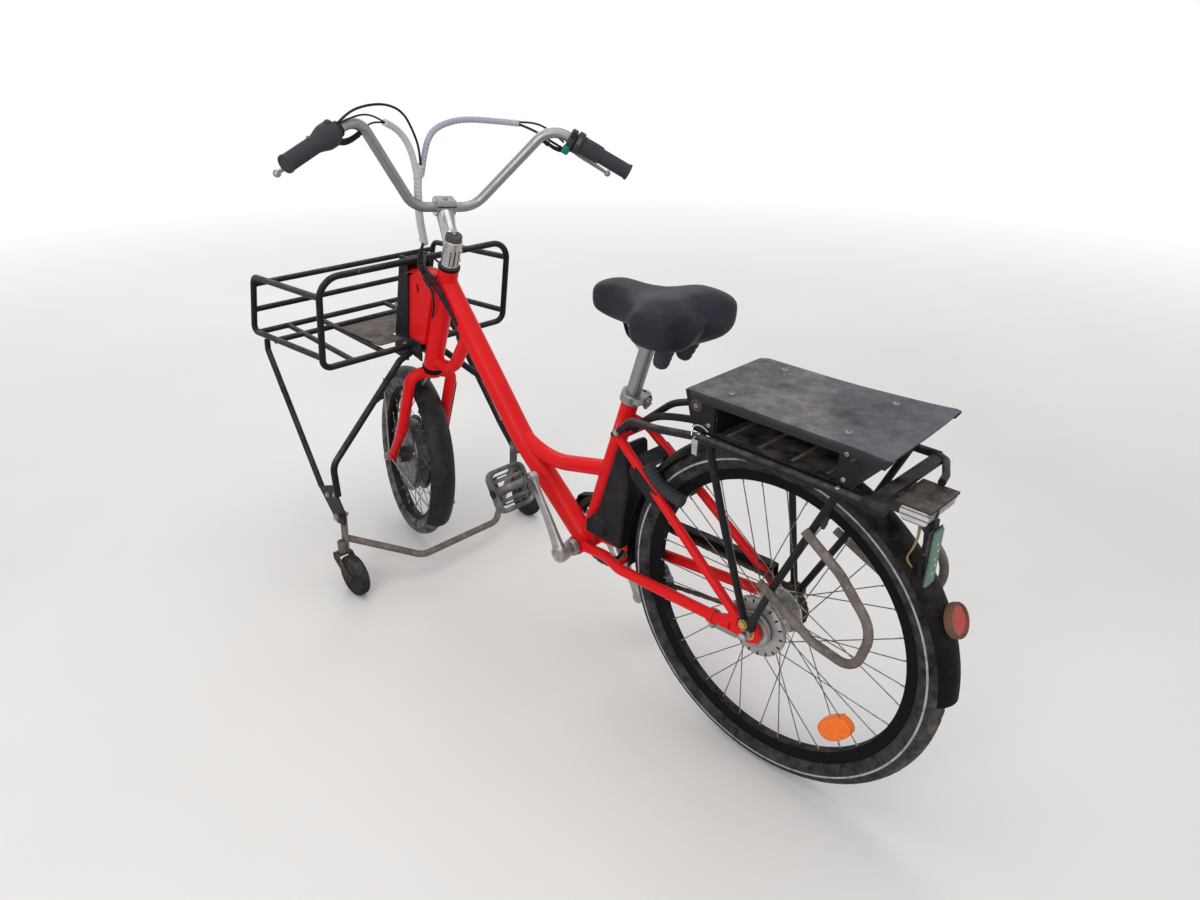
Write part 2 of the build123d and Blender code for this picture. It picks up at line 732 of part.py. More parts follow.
with BuildPart() as rear_rack:
    for flank in (1, -1):
        add(
            tube(
                [
                    Vector(352, flank * 40, 583),
                    Vector(300, flank * 58, 630),
                    Vector(210, flank * 92, 655),
                    Vector(110, flank * RAIL_Y, RAIL_Z),
                    Vector(DECK_REAR_X + 13 - flank * 9, flank * RAIL_Y, RAIL_Z + 1),
                ],
                [60, 90, 90],
                RAIL_R,
            )
        )
        add(
            tube(
                [
                    Vector(84, flank * RAIL_Y, RAIL_Z),
                    Vector(50, flank * 100, 545),
                    Vector(6, flank * 76, 352),
                ],
                [120],
                6.5,
            )
        )
        add(
            tube(
                [
                    Vector(-152, flank * RAIL_Y, RAIL_Z),
                    Vector(-62, flank * 108, 470),
                    Vector(-8, flank * 76, 350),
                ],
                [120],
                6.5,
            )
        )
        add(box(-16, 16, flank * 76 - 6.4, flank * 76 + 6.4, 341, 356))
        add(box(96, 112, flank * (RAIL_Y - 4) - 5, flank * (RAIL_Y - 4) + 5, RAIL_Z, 686))
        add(box(-166, -142, flank * (RAIL_Y - 4) - 5, flank * (RAIL_Y - 4) + 5, RAIL_Z, 686))
    add(
        tube(
            [
                Vector(DECK_REAR_X + 24, -RAIL_Y + 1, RAIL_Z + 1),
                Vector(-214, -98, RAIL_Z + 1),
                Vector(-236, -52, RAIL_Z + 1),
                Vector(-242, -26, RAIL_Z + 1),
            ],
            [14, 30],
            6.0,
        )
    )
    add(box(-212, -190, -RAIL_Y, RAIL_Y, RAIL_Z - 3, RAIL_Z + 3))
    add(rod((352, -52, 583), (352, 52, 583), 5.0))
    add(seat_stay(1, 9.05), mode=Mode.SUBTRACT)
    add(seat_stay(-1, 9.05), mode=Mode.SUBTRACT)
    add(rod((352, -44, 572), (352, 44, 572), 7.05), mode=Mode.SUBTRACT)
    add(rod(bracket, SEAT_TOP, SEAT_TUBE_R + 0.05), mode=Mode.SUBTRACT)
    add(seat_post.part, mode=Mode.SUBTRACT)
save(rear_rack.part, "rear_rack")

# Guard loops beside the rear wheel
with BuildPart() as side_loops:
    for flank in (1, -1):
        add(
            tube(
                [
                    Vector(-112, flank * 118, 604),
                    Vector(-180, flank * 120, 560),
                    Vector(-244, flank * 120, 490),
                    Vector(-224, flank * 120, 408),
                    Vector(-150, flank * 120, 420),
                    Vector(-40, flank * 114, 474),
                ],
                [60, 60, 30, 40],
                7.5,
            )
        )
    add(rear_rack.part, mode=Mode.SUBTRACT)
save(side_loops.part, "side_loops")

# Rear lamp, what is left of it: bright trough, cover plate, black socket, bare circuit board
with BuildPart() as lamp_trough:
    with BuildSketch(side(42)) as trough_shape:
        with Locations((-238, 651)):
            Rectangle(44, 24)
        fillet(trough_shape.vertices(), 9)
    extrude(amount=84)
save(lamp_trough.part, "lamp_trough")

with BuildPart() as lamp_cover:
    add(box(-264, -206, -45, 45, 663.1, 667))
    add(rod((-215.9, 26, 651), (-190, 26, 651), 12.0))
    add(box(-214, -196, -8, 8, 663, 677))
    add(box(-268, -258, 6, 36, 592, 630))
    add(rod((-263, 21, 628), (-263, 21, 664), 2.0))
save(lamp_cover.part, "lamp_cover")

with BuildPart() as circuit_board:
    add(box(-272, -268.1, 8, 34, 540, 632))
save(circuit_board.part, "circuit_board")

# Chain guard, chain and the fixed parts at the rear axle
guard_front = Vector(540, CHAIN_Y - 12, 0)
with BuildPart() as chain_guard:
    with BuildSketch(side(CHAIN_Y - 11)) as guard_shape:
        with BuildLine():
            Polyline(
                (42, 352), (42, 382), (60, 384), (470, 366), (545, 340), (572, 284), (552, 236),
                (530, 236), (548, 284), (520, 326), (440, 336),
                close=True,
            )
        make_face()
    extrude(amount=2)
    with BuildSketch(side(CHAIN_Y + 6)) as guard_rim:
        with BuildLine():
            Polyline(
                (42, 380), (42, 382), (60, 384), (470, 366), (545, 340), (572, 284), (552, 236),
                (550, 237), (570, 284), (543, 338), (469, 364), (60, 382),
                close=True,
            )
        make_face()
    extrude(amount=18)
slanted_guard = chain_guard.part.rotate(Axis(guard_front, (0, 0, 1)), 1.76)
with BuildPart() as fitted_guard:
    add(slanted_guard)
    add(seat_stay(-1, 9.4), mode=Mode.SUBTRACT)
save(fitted_guard.part, "chain_guard")

with BuildPart() as chain:
    with BuildSketch(side(CHAIN_Y + 3.5)) as chain_shape:
        with Locations((BB_X, BB_Z)):
            Circle(CHAINRING_R + 7)
        with Locations((0, REAR_Z)):
            Circle(SPROCKET_R + 7)
        make_hull()
    extrude(amount=7)
    with BuildSketch(side(CHAIN_Y + 3.5)) as chain_void:
        with Locations((BB_X, BB_Z)):
            Circle(CHAINRING_R + 0.3)
        with Locations((0, REAR_Z)):
            Circle(SPROCKET_R + 0.3)
        make_hull()
    extrude(amount=7, mode=Mode.SUBTRACT)
save(chain.part, "chain")

axle_nut_y = REAR_DROPOUT_Y + 3.6
with BuildPart() as rear_axle:
    add(disc(0, REAR_Z, -78, 79, 5.0))
    for flank in (1, -1):
        add(disc(0, REAR_Z, flank * (axle_nut_y + 3.5) - 3.5, flank * (axle_nut_y + 3.5) + 3.5, 10.0))
    add(disc(0, REAR_Z, axle_nut_y, axle_nut_y + 1.2, 13.0))
    add(disc(0, REAR_Z, 78, 88, 8.0))
    add(disc(0, REAR_Z, -62.3, -53, 9.0))
save(rear_axle.part, "rear_axle")

# Brake cover with the arm that is strapped to the left chain stay
with BuildPart() as brake_arm:
    add(disc(0, REAR_Z, 50, 58, 34.0, 5.05))
    add(disc(0, REAR_Z, 56, 62.3, 12.0, 5.05))
    add(plate([(-6, 322), (14, 334), (88, 302), (92, 288), (30, 292)], 59.0, 4.0))
    add(rod((76, 60.6, 315), (90, 60.0, 313.7), 13.0))
    add(rod((84, 60.2, 296), (84, 60.2, 306), 5.0))
    add(chain_stay(1, 11.05), mode=Mode.SUBTRACT)
    add(seat_stay(1, 9.3), mode=Mode.SUBTRACT)
    add(disc(0, REAR_Z, 40, 70, 5.05), mode=Mode.SUBTRACT)
    add(plate(dropout_outline, REAR_DROPOUT_Y, 7.2), mode=Mode.SUBTRACT)
save(brake_arm.part, "brake_arm")

# Cables that the frame carries
with BuildPart() as frame_cables:
    add(
        tube(
            [
                Vector(1007, -2, 790),
                Vector(968, 30, 782),
                Vector(915, 31, 750),
                Vector(880, 31, 700),
                Vector(862, 24, 668),
            ],
            [30, 40, 40],
            4.0,
        )
    )
    add(rod(HEAD_BOTTOM, HEAD_TOP, HEAD_R + 0.1), mode=Mode.SUBTRACT)
    add(tube([head_join, kink, bracket], [260], DOWN_TUBE_R + 0.1), mode=Mode.SUBTRACT)
save(frame_cables.part, "frame_cables")

# Rear wheel
save(tyre(0, REAR_Z, REAR_R, TYRE_SECTION_R, RIM_OUT_R, RIM_HALF_W), "rear_tyre")
save(rim(0, REAR_Z, RIM_OUT_R, RIM_IN_R, RIM_HALF_W, 9.0), "rear_rim")
with BuildPart() as rear_hub:
    add(disc(0, REAR_Z, -50, 40, 19.0))
    for flank in (1, -1):
        add(disc(0, REAR_Z, flank * REAR_FLANGE_Y - 2, flank * REAR_FLANGE_Y + 2, REAR_FLANGE_R + 3))
    add(disc(0, REAR_Z, REAR_FLANGE_Y, 41, 40.0))
    for fin_y in (38.0, 42.0, 46.0):
        add(disc(0, REAR_Z, fin_y - 1, fin_y + 1, 57.0))
    add(disc(0, REAR_Z, 38, 46, 44.0))
    add(disc(0, REAR_Z, CHAIN_Y - 1.5, CHAIN_Y + 1.5, SPROCKET_R))
    for bar in spokes(0, REAR_Z, REAR_FLANGE_R, REAR_FLANGE_Y, RIM_IN_R - 0.6, 56, SPOKE_COUNT):
        add(bar)
    add(disc(0, REAR_Z, -70, 70, 5.05), mode=Mode.SUBTRACT)
save(rear_hub.part, "rear_hub")

# Front wheel with the motor in its hub, turned with the steering
front_x = FRONT_AXLE.X
front_z = FRONT_AXLE.Z
front_tyre = tyre(
    front_x, front_z, FRONT_R, FRONT_SECTION_R, FRONT_RIM_OUT_R, RIM_HALF_W
)
save(turned(front_tyre), "front_tyre")
front_rim = rim(front_x, front_z, FRONT_RIM_OUT_R, FRONT_RIM_IN_R, RIM_HALF_W, 9.0)
save(turned(front_rim), "front_rim")
with BuildPart() as motor_hub:
    add(disc(front_x, front_z, -24, 24, FRONT_HUB_R))
    fillet(motor_hub.edges().filter_by(GeomType.CIRCLE), 6)
    add(disc(front_x, front_z, -42, 42, 22.0))
    for flank in (1, -1):
        add(disc(front_x, front_z, flank * 16 - 1.5, flank * 16 + 1.5, FRONT_HUB_R + 8))
    for bar in spokes(front_x, front_z, FRONT_HUB_R + 5, 16, FRONT_RIM_IN_R - 0.9, 22, SPOKE_COUNT):
        add(bar)
    add(disc(front_x, front_z, -50, 50, 5.05), mode=Mode.SUBTRACT)
save(turned(motor_hub.part), "motor_hub")

# Crankset with chainring, and the two pedals
crank_way = Vector(math.cos(math.radians(CRANK_ANGLE)), 0, math.sin(math.radians(CRANK_ANGLE)))
with BuildPart() as crankset:
    add(disc(BB_X, BB_Z, -CRANK_Y, CRANK_Y, 10.0))
    for flank in (1, -1):
        pin_end = bracket + crank_way * (CRANK_LENGTH * flank)
        start = Vector(BB_X, flank * CRANK_Y, BB_Z)
        end = Vector(pin_end.X, flank * CRANK_Y, pin_end.Z)
        add(disc(BB_X, BB_Z, flank * CRANK_Y - 10, flank * CRANK_Y + 10, 19.0))
        add(disc(end.X, end.Z, flank * CRANK_Y - 7, flank * CRANK_Y + 7, 13.0))
        across = Vector(-crank_way.Z, 0, crank_way.X)
        corners = [
            start + across * 13,
            end + across * 10,
            end - across * 10,
            start - across * 13,
        ]
        add(plate([(c.X, c.Z) for c in corners], flank * CRANK_Y, 12.0))
        add(disc(end.X, end.Z, flank * 127 - 49, flank * 127 + 49, 5.0))
    add(disc(BB_X, BB_Z, CHAIN_Y - 1.5, CHAIN_Y + 1.5, CHAINRING_R))
    add(disc(BB_X, BB_Z, -CRANK_Y, CHAIN_Y, 26.0))
save(crankset.part, "crankset")

for hand, flank in (("left", 1), ("right", -1)):
    pin_end = bracket + crank_way * (CRANK_LENGTH * flank)
    pedal_y = flank * PEDAL_Y
    with BuildPart() as pedal:
        add(disc(0, 0, pedal_y - 44, pedal_y + 44, 11.0))
        for across_x in (-42, 42):
            add(box(across_x - 5, across_x + 5, pedal_y - 47, pedal_y + 47, -12, 12))
        for end_y in (-45, 45):
            add(box(-42, 42, pedal_y + end_y - 3, pedal_y + end_y + 3, -11, 11))
        for block_x in (-24, 24):
            add(box(block_x - 9, block_x + 9, pedal_y - 44, pedal_y + 44, -9, 9))
        add(disc(0, 0, pedal_y - 60, pedal_y + 60, 5.05), mode=Mode.SUBTRACT)
    placed = pedal.part.rotate(Axis.Y, PEDAL_TILT).translate((pin_end.X, 0, pin_end.Z))
    save(placed, f"pedal_{hand}")

# Steering: fork, front mudguard, stem, bar and what hangs on it
with BuildPart() as fork:
    add(rod(HEAD_BOTTOM - UP * 20, HEAD_TOP + UP * 8, STEERER_R))
    add(rod(HEAD_BOTTOM - UP * 22, HEAD_BOTTOM - UP * 1, 24.0))
    for flank in (1, -1):
        shoulder = HEAD_BOTTOM - UP * 26 + Vector(0, flank * 52, 0)
        blade_end = HEAD_BOTTOM - UP * 200 + Vector(0, flank * 54, 0)
        add(tube([HEAD_BOTTOM - UP * 17, shoulder, blade_end], [30], 14.0))
        add(cone(blade_end, FRONT_AXLE + Vector(0, flank * FORK_HALF_W, 0), 14.0, 9.0))
        add(disc(front_x, front_z, flank * FORK_HALF_W - 9, flank * FORK_HALF_W + 9, 13.0))
    add(disc(front_x, front_z, -80, 80, 5.05), mode=Mode.SUBTRACT)
save(turned(fork.part), "fork")

with BuildPart() as front_axle:
    add(disc(front_x, front_z, -80, 80, 5.0))
    for flank in (1, -1):
        add(disc(front_x, front_z, flank * 71 - 3.9, flank * 71 + 3.9, 10.0))
save(turned(front_axle.part), "front_axle")

guard_foot = FRONT_AXLE + UP * (FRONT_GUARD_R + 1)
with BuildPart() as front_mudguard:
    add(guard(front_x, front_z, FRONT_GUARD_R, FRONT_GUARD_HALF_W, GUARD_THICK, 20, 213))
save(turned(front_mudguard.part), "front_mudguard")

with BuildPart() as mudguard_stays:
    for flank in (1, -1):
        for stay_angle in (50, 196):
            way = Vector(math.cos(math.radians(stay_angle)), 0, math.sin(math.radians(stay_angle)))
            edge = FRONT_AXLE + way * (FRONT_GUARD_R - 13)
            add(
                rod(
                    FRONT_AXLE + way * 10 + Vector(0, flank * 64, 0),
                    edge + Vector(0, flank * 34.5, 0),
                    2.0,
                )
            )
    add(rod(guard_foot + UP * 2.5, HEAD_BOTTOM - UP * 24, 6.0))
    add(fork.part, mode=Mode.SUBTRACT)
    add(front_mudguard.part, mode=Mode.SUBTRACT)
save(turned(mudguard_stays.part), "mudguard_stays")

bar_clamp = HEAD_BOTTOM + UP * BAR_CLAMP_UP + AHEAD * BAR_CLAMP_AHEAD
with BuildPart() as stem:
    add(rod(HEAD_TOP + UP * 8.3, HEAD_TOP + UP * 70, 19.0))
    add(rod(HEAD_TOP + UP * 1, HEAD_TOP + UP * 8.3, 24.0))
    add(rod(HEAD_BOTTOM + UP * 338, HEAD_BOTTOM + UP * 352, 16.5))
    add(tube([HEAD_BOTTOM + UP * 326, HEAD_BOTTOM + UP * 352 + AHEAD * 20, bar_clamp], [18], 14.0))
    add(rod(bar_clamp - Vector(0, 22, 0), bar_clamp + Vector(0, 22, 0), 19.0))
    add(rod(bar_clamp - Vector(0, 60, 0), bar_clamp + Vector(0, 60, 0), BAR_R + 0.05), mode=Mode.SUBTRACT)
    add(rod(HEAD_BOTTOM, HEAD_TOP + UP * 8.3, STEERER_R + 0.05), mode=Mode.SUBTRACT)
save(turned(stem.part), "stem")


def bar_point(flank, lateral, back, rise):
    """Point of the handlebar, from the middle of its clamp."""
    return bar_clamp + Vector(-back, flank * lateral, rise)


def grip_point(flank, share):
    """Point on the last straight run of the bar, 0 at its bend and 1 at its end."""
    bend = bar_point(flank, 210, 79, 182)
    return bend + (bar_point(flank, 365, 163, 100) - bend) * share


with BuildPart() as handlebar:
    add(
        tube(
            [
                grip_point(1, 1.0),
                bar_point(1, 210, 79, 182),
                bar_point(1, 70, 0, 0),
                bar_point(-1, 70, 0, 0),
                bar_point(-1, 210, 79, 182),
                grip_point(-1, 1.0),
            ],
            [55, 60, 60, 55],
            BAR_R,
        )
    )
save(turned(handlebar.part), "handlebar")

with BuildPart() as grips:
    for flank in (1, -1):
        add(rod(grip_point(flank, 0.52), grip_point(flank, 0.99), GRIP_R, BAR_R + 0.05))
        add(rod(grip_point(flank, 0.985), grip_point(flank, 1.01), GRIP_R + 1.5, BAR_R + 0.05))
save(turned(grips.part), "grips")

with BuildPart() as bar_controls:
    add(rod(grip_point(1, 0.40), grip_point(1, 0.515), 21.0, BAR_R + 0.05))
    add(rod(grip_point(-1, 0.38), grip_point(-1, 0.515), 19.0, BAR_R + 0.05))
    for flank in (1, -1):
        run = (grip_point(flank, 1.0) - grip_point(flank, 0.0)).normalized()
        ahead = (AHEAD - run * AHEAD.dot(run)).normalized()
        add(rod(grip_point(flank, 0.27), grip_point(flank, 0.36), 15.5, BAR_R + 0.05))
        add(
            cone(
                grip_point(flank, 0.31) + ahead * 13,
                grip_point(flank, 0.33) + ahead * 34,
                8.0,
                7.0,
            )
        )
        down = run.cross(ahead) * flank
        lever_way = ahead * math.cos(LEVER_DROP) + down * math.sin(LEVER_DROP)
        add(
            cone(
                grip_point(flank, 0.31) + lever_way * 13,
                grip_point(flank, 0.33) + lever_way * 34,
                8.0,
                7.0,
            )
        )
save(turned(bar_controls.part), "bar_controls")

with BuildPart() as brake_levers:
    for flank in (1, -1):
        run = (grip_point(flank, 1.0) - grip_point(flank, 0.0)).normalized()
        ahead = (AHEAD - run * AHEAD.dot(run)).normalized()
        down = run.cross(ahead) * flank
        lever_way = ahead * math.cos(LEVER_DROP) + down * math.sin(LEVER_DROP)
        lever_tip = grip_point(flank, 0.97) + lever_way * 52
        add(
            tube(
                [
                    grip_point(flank, 0.33) + lever_way * 34.3,
                    grip_point(flank, 0.42) + lever_way * 44,
                    lever_tip,
                ],
                [14],
                4.5,
            )
        )
        add(rod(lever_tip - run * 5, lever_tip + run * 5, 6.5))
    add(bar_controls.part, mode=Mode.SUBTRACT)
save(turned(brake_levers.part), "brake_levers")

# Cables that the handlebar carries, and the motor's lead on the fork
with BuildPart() as bar_cables:
    add(
        tube(
            [
                Vector(863, 269, 1072),
                Vector(910, 214, 1084),
                Vector(911, 122, 1084),
                Vector(943, 60, 992),
                Vector(996, 50, 852),
                Vector(1011, 26, 812),
            ],
            [30, 45, 60, 60],
            6.5,
        )
    )
    add(
        tube(
            [
                Vector(863, -269, 1072),
                Vector(908, -196, 1088),
                Vector(905, 14, 1104),
                Vector(939, 44, 1000),
                Vector(986, 34, 876),
                Vector(1008, 8, 816),
            ],
            [60, 60, 60, 60],
            6.5,
        )
    )
    add(
        tube(
            [
                Vector(907, 206, 1090),
                Vector(896, 165, 1140),
                Vector(922, 94, 1062),
            ],
            [36],
            2.5,
        )
    )
    add(bar_controls.part, mode=Mode.SUBTRACT)
    add(handlebar.part, mode=Mode.SUBTRACT)
save(turned(bar_cables.part), "bar_cables")

with BuildPart() as motor_lead:
    lead_side = Vector(0, -FORK_HALF_W - 14, 0)
    add(
        tube(
            [
                HEAD_BOTTOM - UP * 30 + AHEAD * 18 + Vector(0, -44, 0),
                HEAD_BOTTOM - UP * 66 + AHEAD * 8 + lead_side,
                HEAD_BOTTOM - UP * 235 + AHEAD * 6 + lead_side,
                FRONT_AXLE + UP * 14 + lead_side,
            ],
            [40, 60],
            3.5,
        )
    )
    add(fork.part, mode=Mode.SUBTRACT)
save(turned(motor_lead.part), "motor_lead")
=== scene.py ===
"""Looks of the electric delivery bicycle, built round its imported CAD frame.

Metres, X forward, Y to the rider's left, Z up, origin on the ground under the rear tyre.
"""

from __future__ import annotations

import json
import logging
import math
from dataclasses import dataclass
from enum import Enum
from typing import Any, Callable, Sequence

import bmesh
import bpy
from mathutils import Matrix, Quaternion, Vector

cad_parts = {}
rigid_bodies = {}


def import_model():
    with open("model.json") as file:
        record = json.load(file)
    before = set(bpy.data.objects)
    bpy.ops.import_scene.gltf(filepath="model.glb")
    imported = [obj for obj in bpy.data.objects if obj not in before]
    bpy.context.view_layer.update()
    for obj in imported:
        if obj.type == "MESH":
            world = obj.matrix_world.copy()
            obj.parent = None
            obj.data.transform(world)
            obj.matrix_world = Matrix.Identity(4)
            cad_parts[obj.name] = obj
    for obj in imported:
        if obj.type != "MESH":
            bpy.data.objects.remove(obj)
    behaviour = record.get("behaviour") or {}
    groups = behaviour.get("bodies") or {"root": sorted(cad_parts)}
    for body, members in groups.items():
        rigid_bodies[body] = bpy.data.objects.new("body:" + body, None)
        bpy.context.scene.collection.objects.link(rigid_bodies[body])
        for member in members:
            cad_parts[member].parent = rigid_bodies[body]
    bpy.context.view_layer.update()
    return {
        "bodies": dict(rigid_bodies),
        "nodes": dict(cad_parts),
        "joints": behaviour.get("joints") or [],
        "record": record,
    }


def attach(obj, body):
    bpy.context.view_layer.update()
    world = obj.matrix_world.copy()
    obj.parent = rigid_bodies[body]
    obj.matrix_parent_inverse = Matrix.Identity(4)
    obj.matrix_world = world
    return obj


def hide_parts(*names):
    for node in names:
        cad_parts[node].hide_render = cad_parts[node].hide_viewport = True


LOG = logging.getLogger("bicycle")
MADE: dict[str, bpy.types.Material] = {}
Colour = tuple[float, float, float]
Point = Sequence[float]


class Body(str, Enum):
    """Bodies of the frame that pieces ride on."""

    FRAME = "bicycle_frame"
    STEERING = "steering"
    FRONT_WHEEL = "front_wheel"
    REAR_WHEEL = "rear_wheel"
    CRANKS = "cranks"
    LEFT_PEDAL = "left_pedal"
    RIGHT_PEDAL = "right_pedal"
    STAND = "front_stand"
    LEFT_CASTOR_WHEEL = "left_castor_wheel"
    RIGHT_CASTOR_WHEEL = "right_castor_wheel"


# Directions of the frame: ahead, to the rider's left, and up
NOSE = Vector((1, 0, 0))
LEFT = Vector((0, 1, 0))
SKY = Vector((0, 0, 1))

# Steering geometry, as in the part's source
HEAD_ANGLE = math.radians(69.6)
HEAD_BOTTOM = Vector((1.009, 0.0, 0.529))
UP = Vector((-math.cos(HEAD_ANGLE), 0.0, math.sin(HEAD_ANGLE)))
AHEAD = Vector((UP.z, 0.0, -UP.x))
PARKED_TURN = math.radians(-15.5)
FRONT_Z = 0.240
FORK_RAKE = 0.032
AXLE_DROP = (HEAD_BOTTOM.z - FRONT_Z + AHEAD.z * FORK_RAKE) / UP.z
FRONT_AXLE = HEAD_BOTTOM - UP * AXLE_DROP + AHEAD * FORK_RAKE
REAR_AXLE = Vector((0.0, 0.0, 0.326))
BRACKET = Vector((0.474, 0.0, 0.274))
CRANK_ANGLE = math.radians(60)
CRANK_LENGTH = 0.170
CHAIN_Y = -0.047
TURN = Quaternion(UP, PARKED_TURN)


def steered(point: Point) -> Vector:
    """Turns a point of the straight steering to where it is parked.

    Args:
        point: Place with the wheel straight ahead.

    Returns:
        The same place after the turn about the steering axis.
    """
    return HEAD_BOTTOM + TURN @ (Vector(point) - HEAD_BOTTOM)


# Materials


def to_eye(tree: bpy.types.NodeTree) -> bpy.types.NodeSocket:
    """Returns 1 on the camera, glossy and transmission rays, which see the white background."""
    rays = tree.nodes.new("ShaderNodeLightPath")
    total = rays.outputs["Is Camera Ray"]
    for name in ("Is Glossy Ray", "Is Transmission Ray"):
        item = tree.nodes.new("ShaderNodeMath")
        item.operation, item.use_clamp = "ADD", True
        tree.links.new(total, item.inputs[0])
        tree.links.new(rays.outputs[name], item.inputs[1])
        total = item.outputs[0]
    return total


class Graph:
    """Builds one procedural material on Object coordinates."""

    def __init__(self, name: str) -> None:
        """Starts an empty material.

        Args:
            name: Name of the material.
        """
        self.material = bpy.data.materials.new(name)
        MADE[name] = self.material
        self.material.use_nodes = True
        self.nodes = self.material.node_tree.nodes
        self.links = self.material.node_tree.links
        self.nodes.clear()
        coords = self.nodes.new("ShaderNodeTexCoord")
        self.place = coords.outputs["Object"]
        self.facing = coords.outputs["Normal"]

    def node(self, kind: str, sockets: dict[Any, Any], **settings: Any) -> bpy.types.Node:
        """Adds a node.

        Args:
            kind: Blender's node type.
            sockets: Input name or index, with the value or socket that feeds it.
            **settings: Properties of the node.

        Returns:
            The new node.
        """
        item = self.nodes.new(kind)
        for key, value in settings.items():
            setattr(item, key, value)
        for key, value in sockets.items():
            if isinstance(value, bpy.types.NodeSocket):
                self.links.new(value, item.inputs[key])
            else:
                item.inputs[key].default_value = value
        return item

    def grain(self, scale: float, detail: float = 4.0, rough: float = 0.55,
            stretch: Point = (1, 1, 1)) -> bpy.types.NodeSocket:
        """Returns noise of a given scale, stretched along an axis where asked."""
        where = self.node("ShaderNodeMapping", {"Vector": self.place, "Scale": tuple(stretch)})
        item = self.node(
            "ShaderNodeTexNoise",
            {"Vector": where.outputs[0], "Scale": scale, "Detail": detail, "Roughness": rough},
        )
        return item.outputs[0]

    def step(self, value: bpy.types.NodeSocket, low: float, high: float, start: float = 0.0,
            end: float = 1.0) -> bpy.types.NodeSocket:
        """Returns value taken from low..high to start..end, held at both ends."""
        item = self.node("ShaderNodeMapRange", {0: value, 1: low, 2: high, 3: start, 4: end}, clamp=True)
        return item.outputs[0]

    def maths(self, action: str, first: Any, second: Any = 0.0) -> bpy.types.NodeSocket:
        """Returns the result of one Math node."""
        return self.node("ShaderNodeMath", {0: first, 1: second}, operation=action).outputs[0]

    def blend(self, share: Any, first: Any, second: Any) -> bpy.types.NodeSocket:
        """Returns a mix of two colours, given as colours or sockets."""
        pair = [c if isinstance(c, bpy.types.NodeSocket) else (*c, 1.0) for c in (first, second)]
        item = self.node("ShaderNodeMix", {0: share, 6: pair[0], 7: pair[1]}, data_type="RGBA")
        return item.outputs[2]

    def upward(self, low: float = 0.2, high: float = 0.95) -> bpy.types.NodeSocket:
        """Returns 1 on surfaces that look up and 0 elsewhere."""
        parts = self.node("ShaderNodeSeparateXYZ", {0: self.facing})
        return self.step(parts.outputs[2], low, high)

    def away(self, centre: Vector, axis: Vector) -> bpy.types.NodeSocket:
        """Returns the distance from an axle's line."""
        offset = self.node("ShaderNodeVectorMath", {0: self.place, 1: tuple(centre)}, operation="SUBTRACT")
        cross = self.node("ShaderNodeVectorMath", {0: offset.outputs[0], 1: tuple(axis)},
            operation="CROSS_PRODUCT")
        return self.node("ShaderNodeVectorMath", {0: cross.outputs[0]}, operation="LENGTH").outputs["Value"]

    def relief(self, height: Any, strength: float, distance: float) -> bpy.types.NodeSocket:
        """Returns a normal with a bump of the given depth in metres."""
        item = self.node("ShaderNodeBump", {"Strength": strength, "Distance": distance, "Height": height})
        return item.outputs[0]

    def close(self, **sockets: Any) -> bpy.types.Material:
        """Adds the shader and the output.

        Args:
            **sockets: Inputs of the Principled shader, with underscores for spaces.

        Returns:
            The finished material.
        """
        named = {key.replace("_", " "): value for key, value in sockets.items()}
        for key in ("Base Color", "Sheen Tint"):
            if isinstance(named.get(key), tuple) and len(named[key]) == 3:
                named[key] = (*named[key], 1.0)
        self.shader = self.node("ShaderNodeBsdfPrincipled", named)
        self.output = self.node("ShaderNodeOutputMaterial", {0: self.shader.outputs[0]})
        return self.material


@dataclass(frozen=True)
class WornPaint:
    """Paint with chips, dull dust on top and fine scratches."""

    name: str
    colour: Colour
    worn: Colour
    dust: Colour = (0.20, 0.17, 0.14)
    dust_share: float = 0.35
    chip_level: float = 0.66
    rough: float = 0.38
    coat: float = 0.0
    specular: float = 0.035

    def build(self) -> bpy.types.Material:
        """Returns the material."""
        g = Graph(self.name)
        tone = g.blend(g.step(g.grain(7.0, 3.0), 0.35, 0.7, 0.0, 0.18), self.colour,
            tuple(c * 0.6 for c in self.colour))
        chips = g.step(g.grain(95.0, 8.0, 0.68), self.chip_level, self.chip_level + 0.035)
        scratch = g.step(g.grain(30.0, 6.0, 0.7, (1.0, 9.0, 1.0)), 0.70, 0.74, 0.0, 0.7)
        bare = g.maths("MAXIMUM", chips, scratch)
        painted = g.blend(bare, tone, self.worn)
        dirt = g.maths("MULTIPLY", g.upward(), g.step(g.grain(26.0, 7.0, 0.7), 0.38, 0.66))
        film = g.maths("MULTIPLY", dirt, self.dust_share)
        colour = g.blend(film, painted, self.dust)
        rough = g.step(g.maths("ADD", bare, dirt), 0.0, 1.0, self.rough, 0.72)
        normal = g.relief(g.maths("SUBTRACT", g.grain(240.0, 3.0), bare), 0.35, 0.0004)
        return g.close(Base_Color=colour, Roughness=rough, Normal=normal, Coat_Weight=self.coat,
            Coat_Roughness=0.25, Specular_IOR_Level=self.specular)


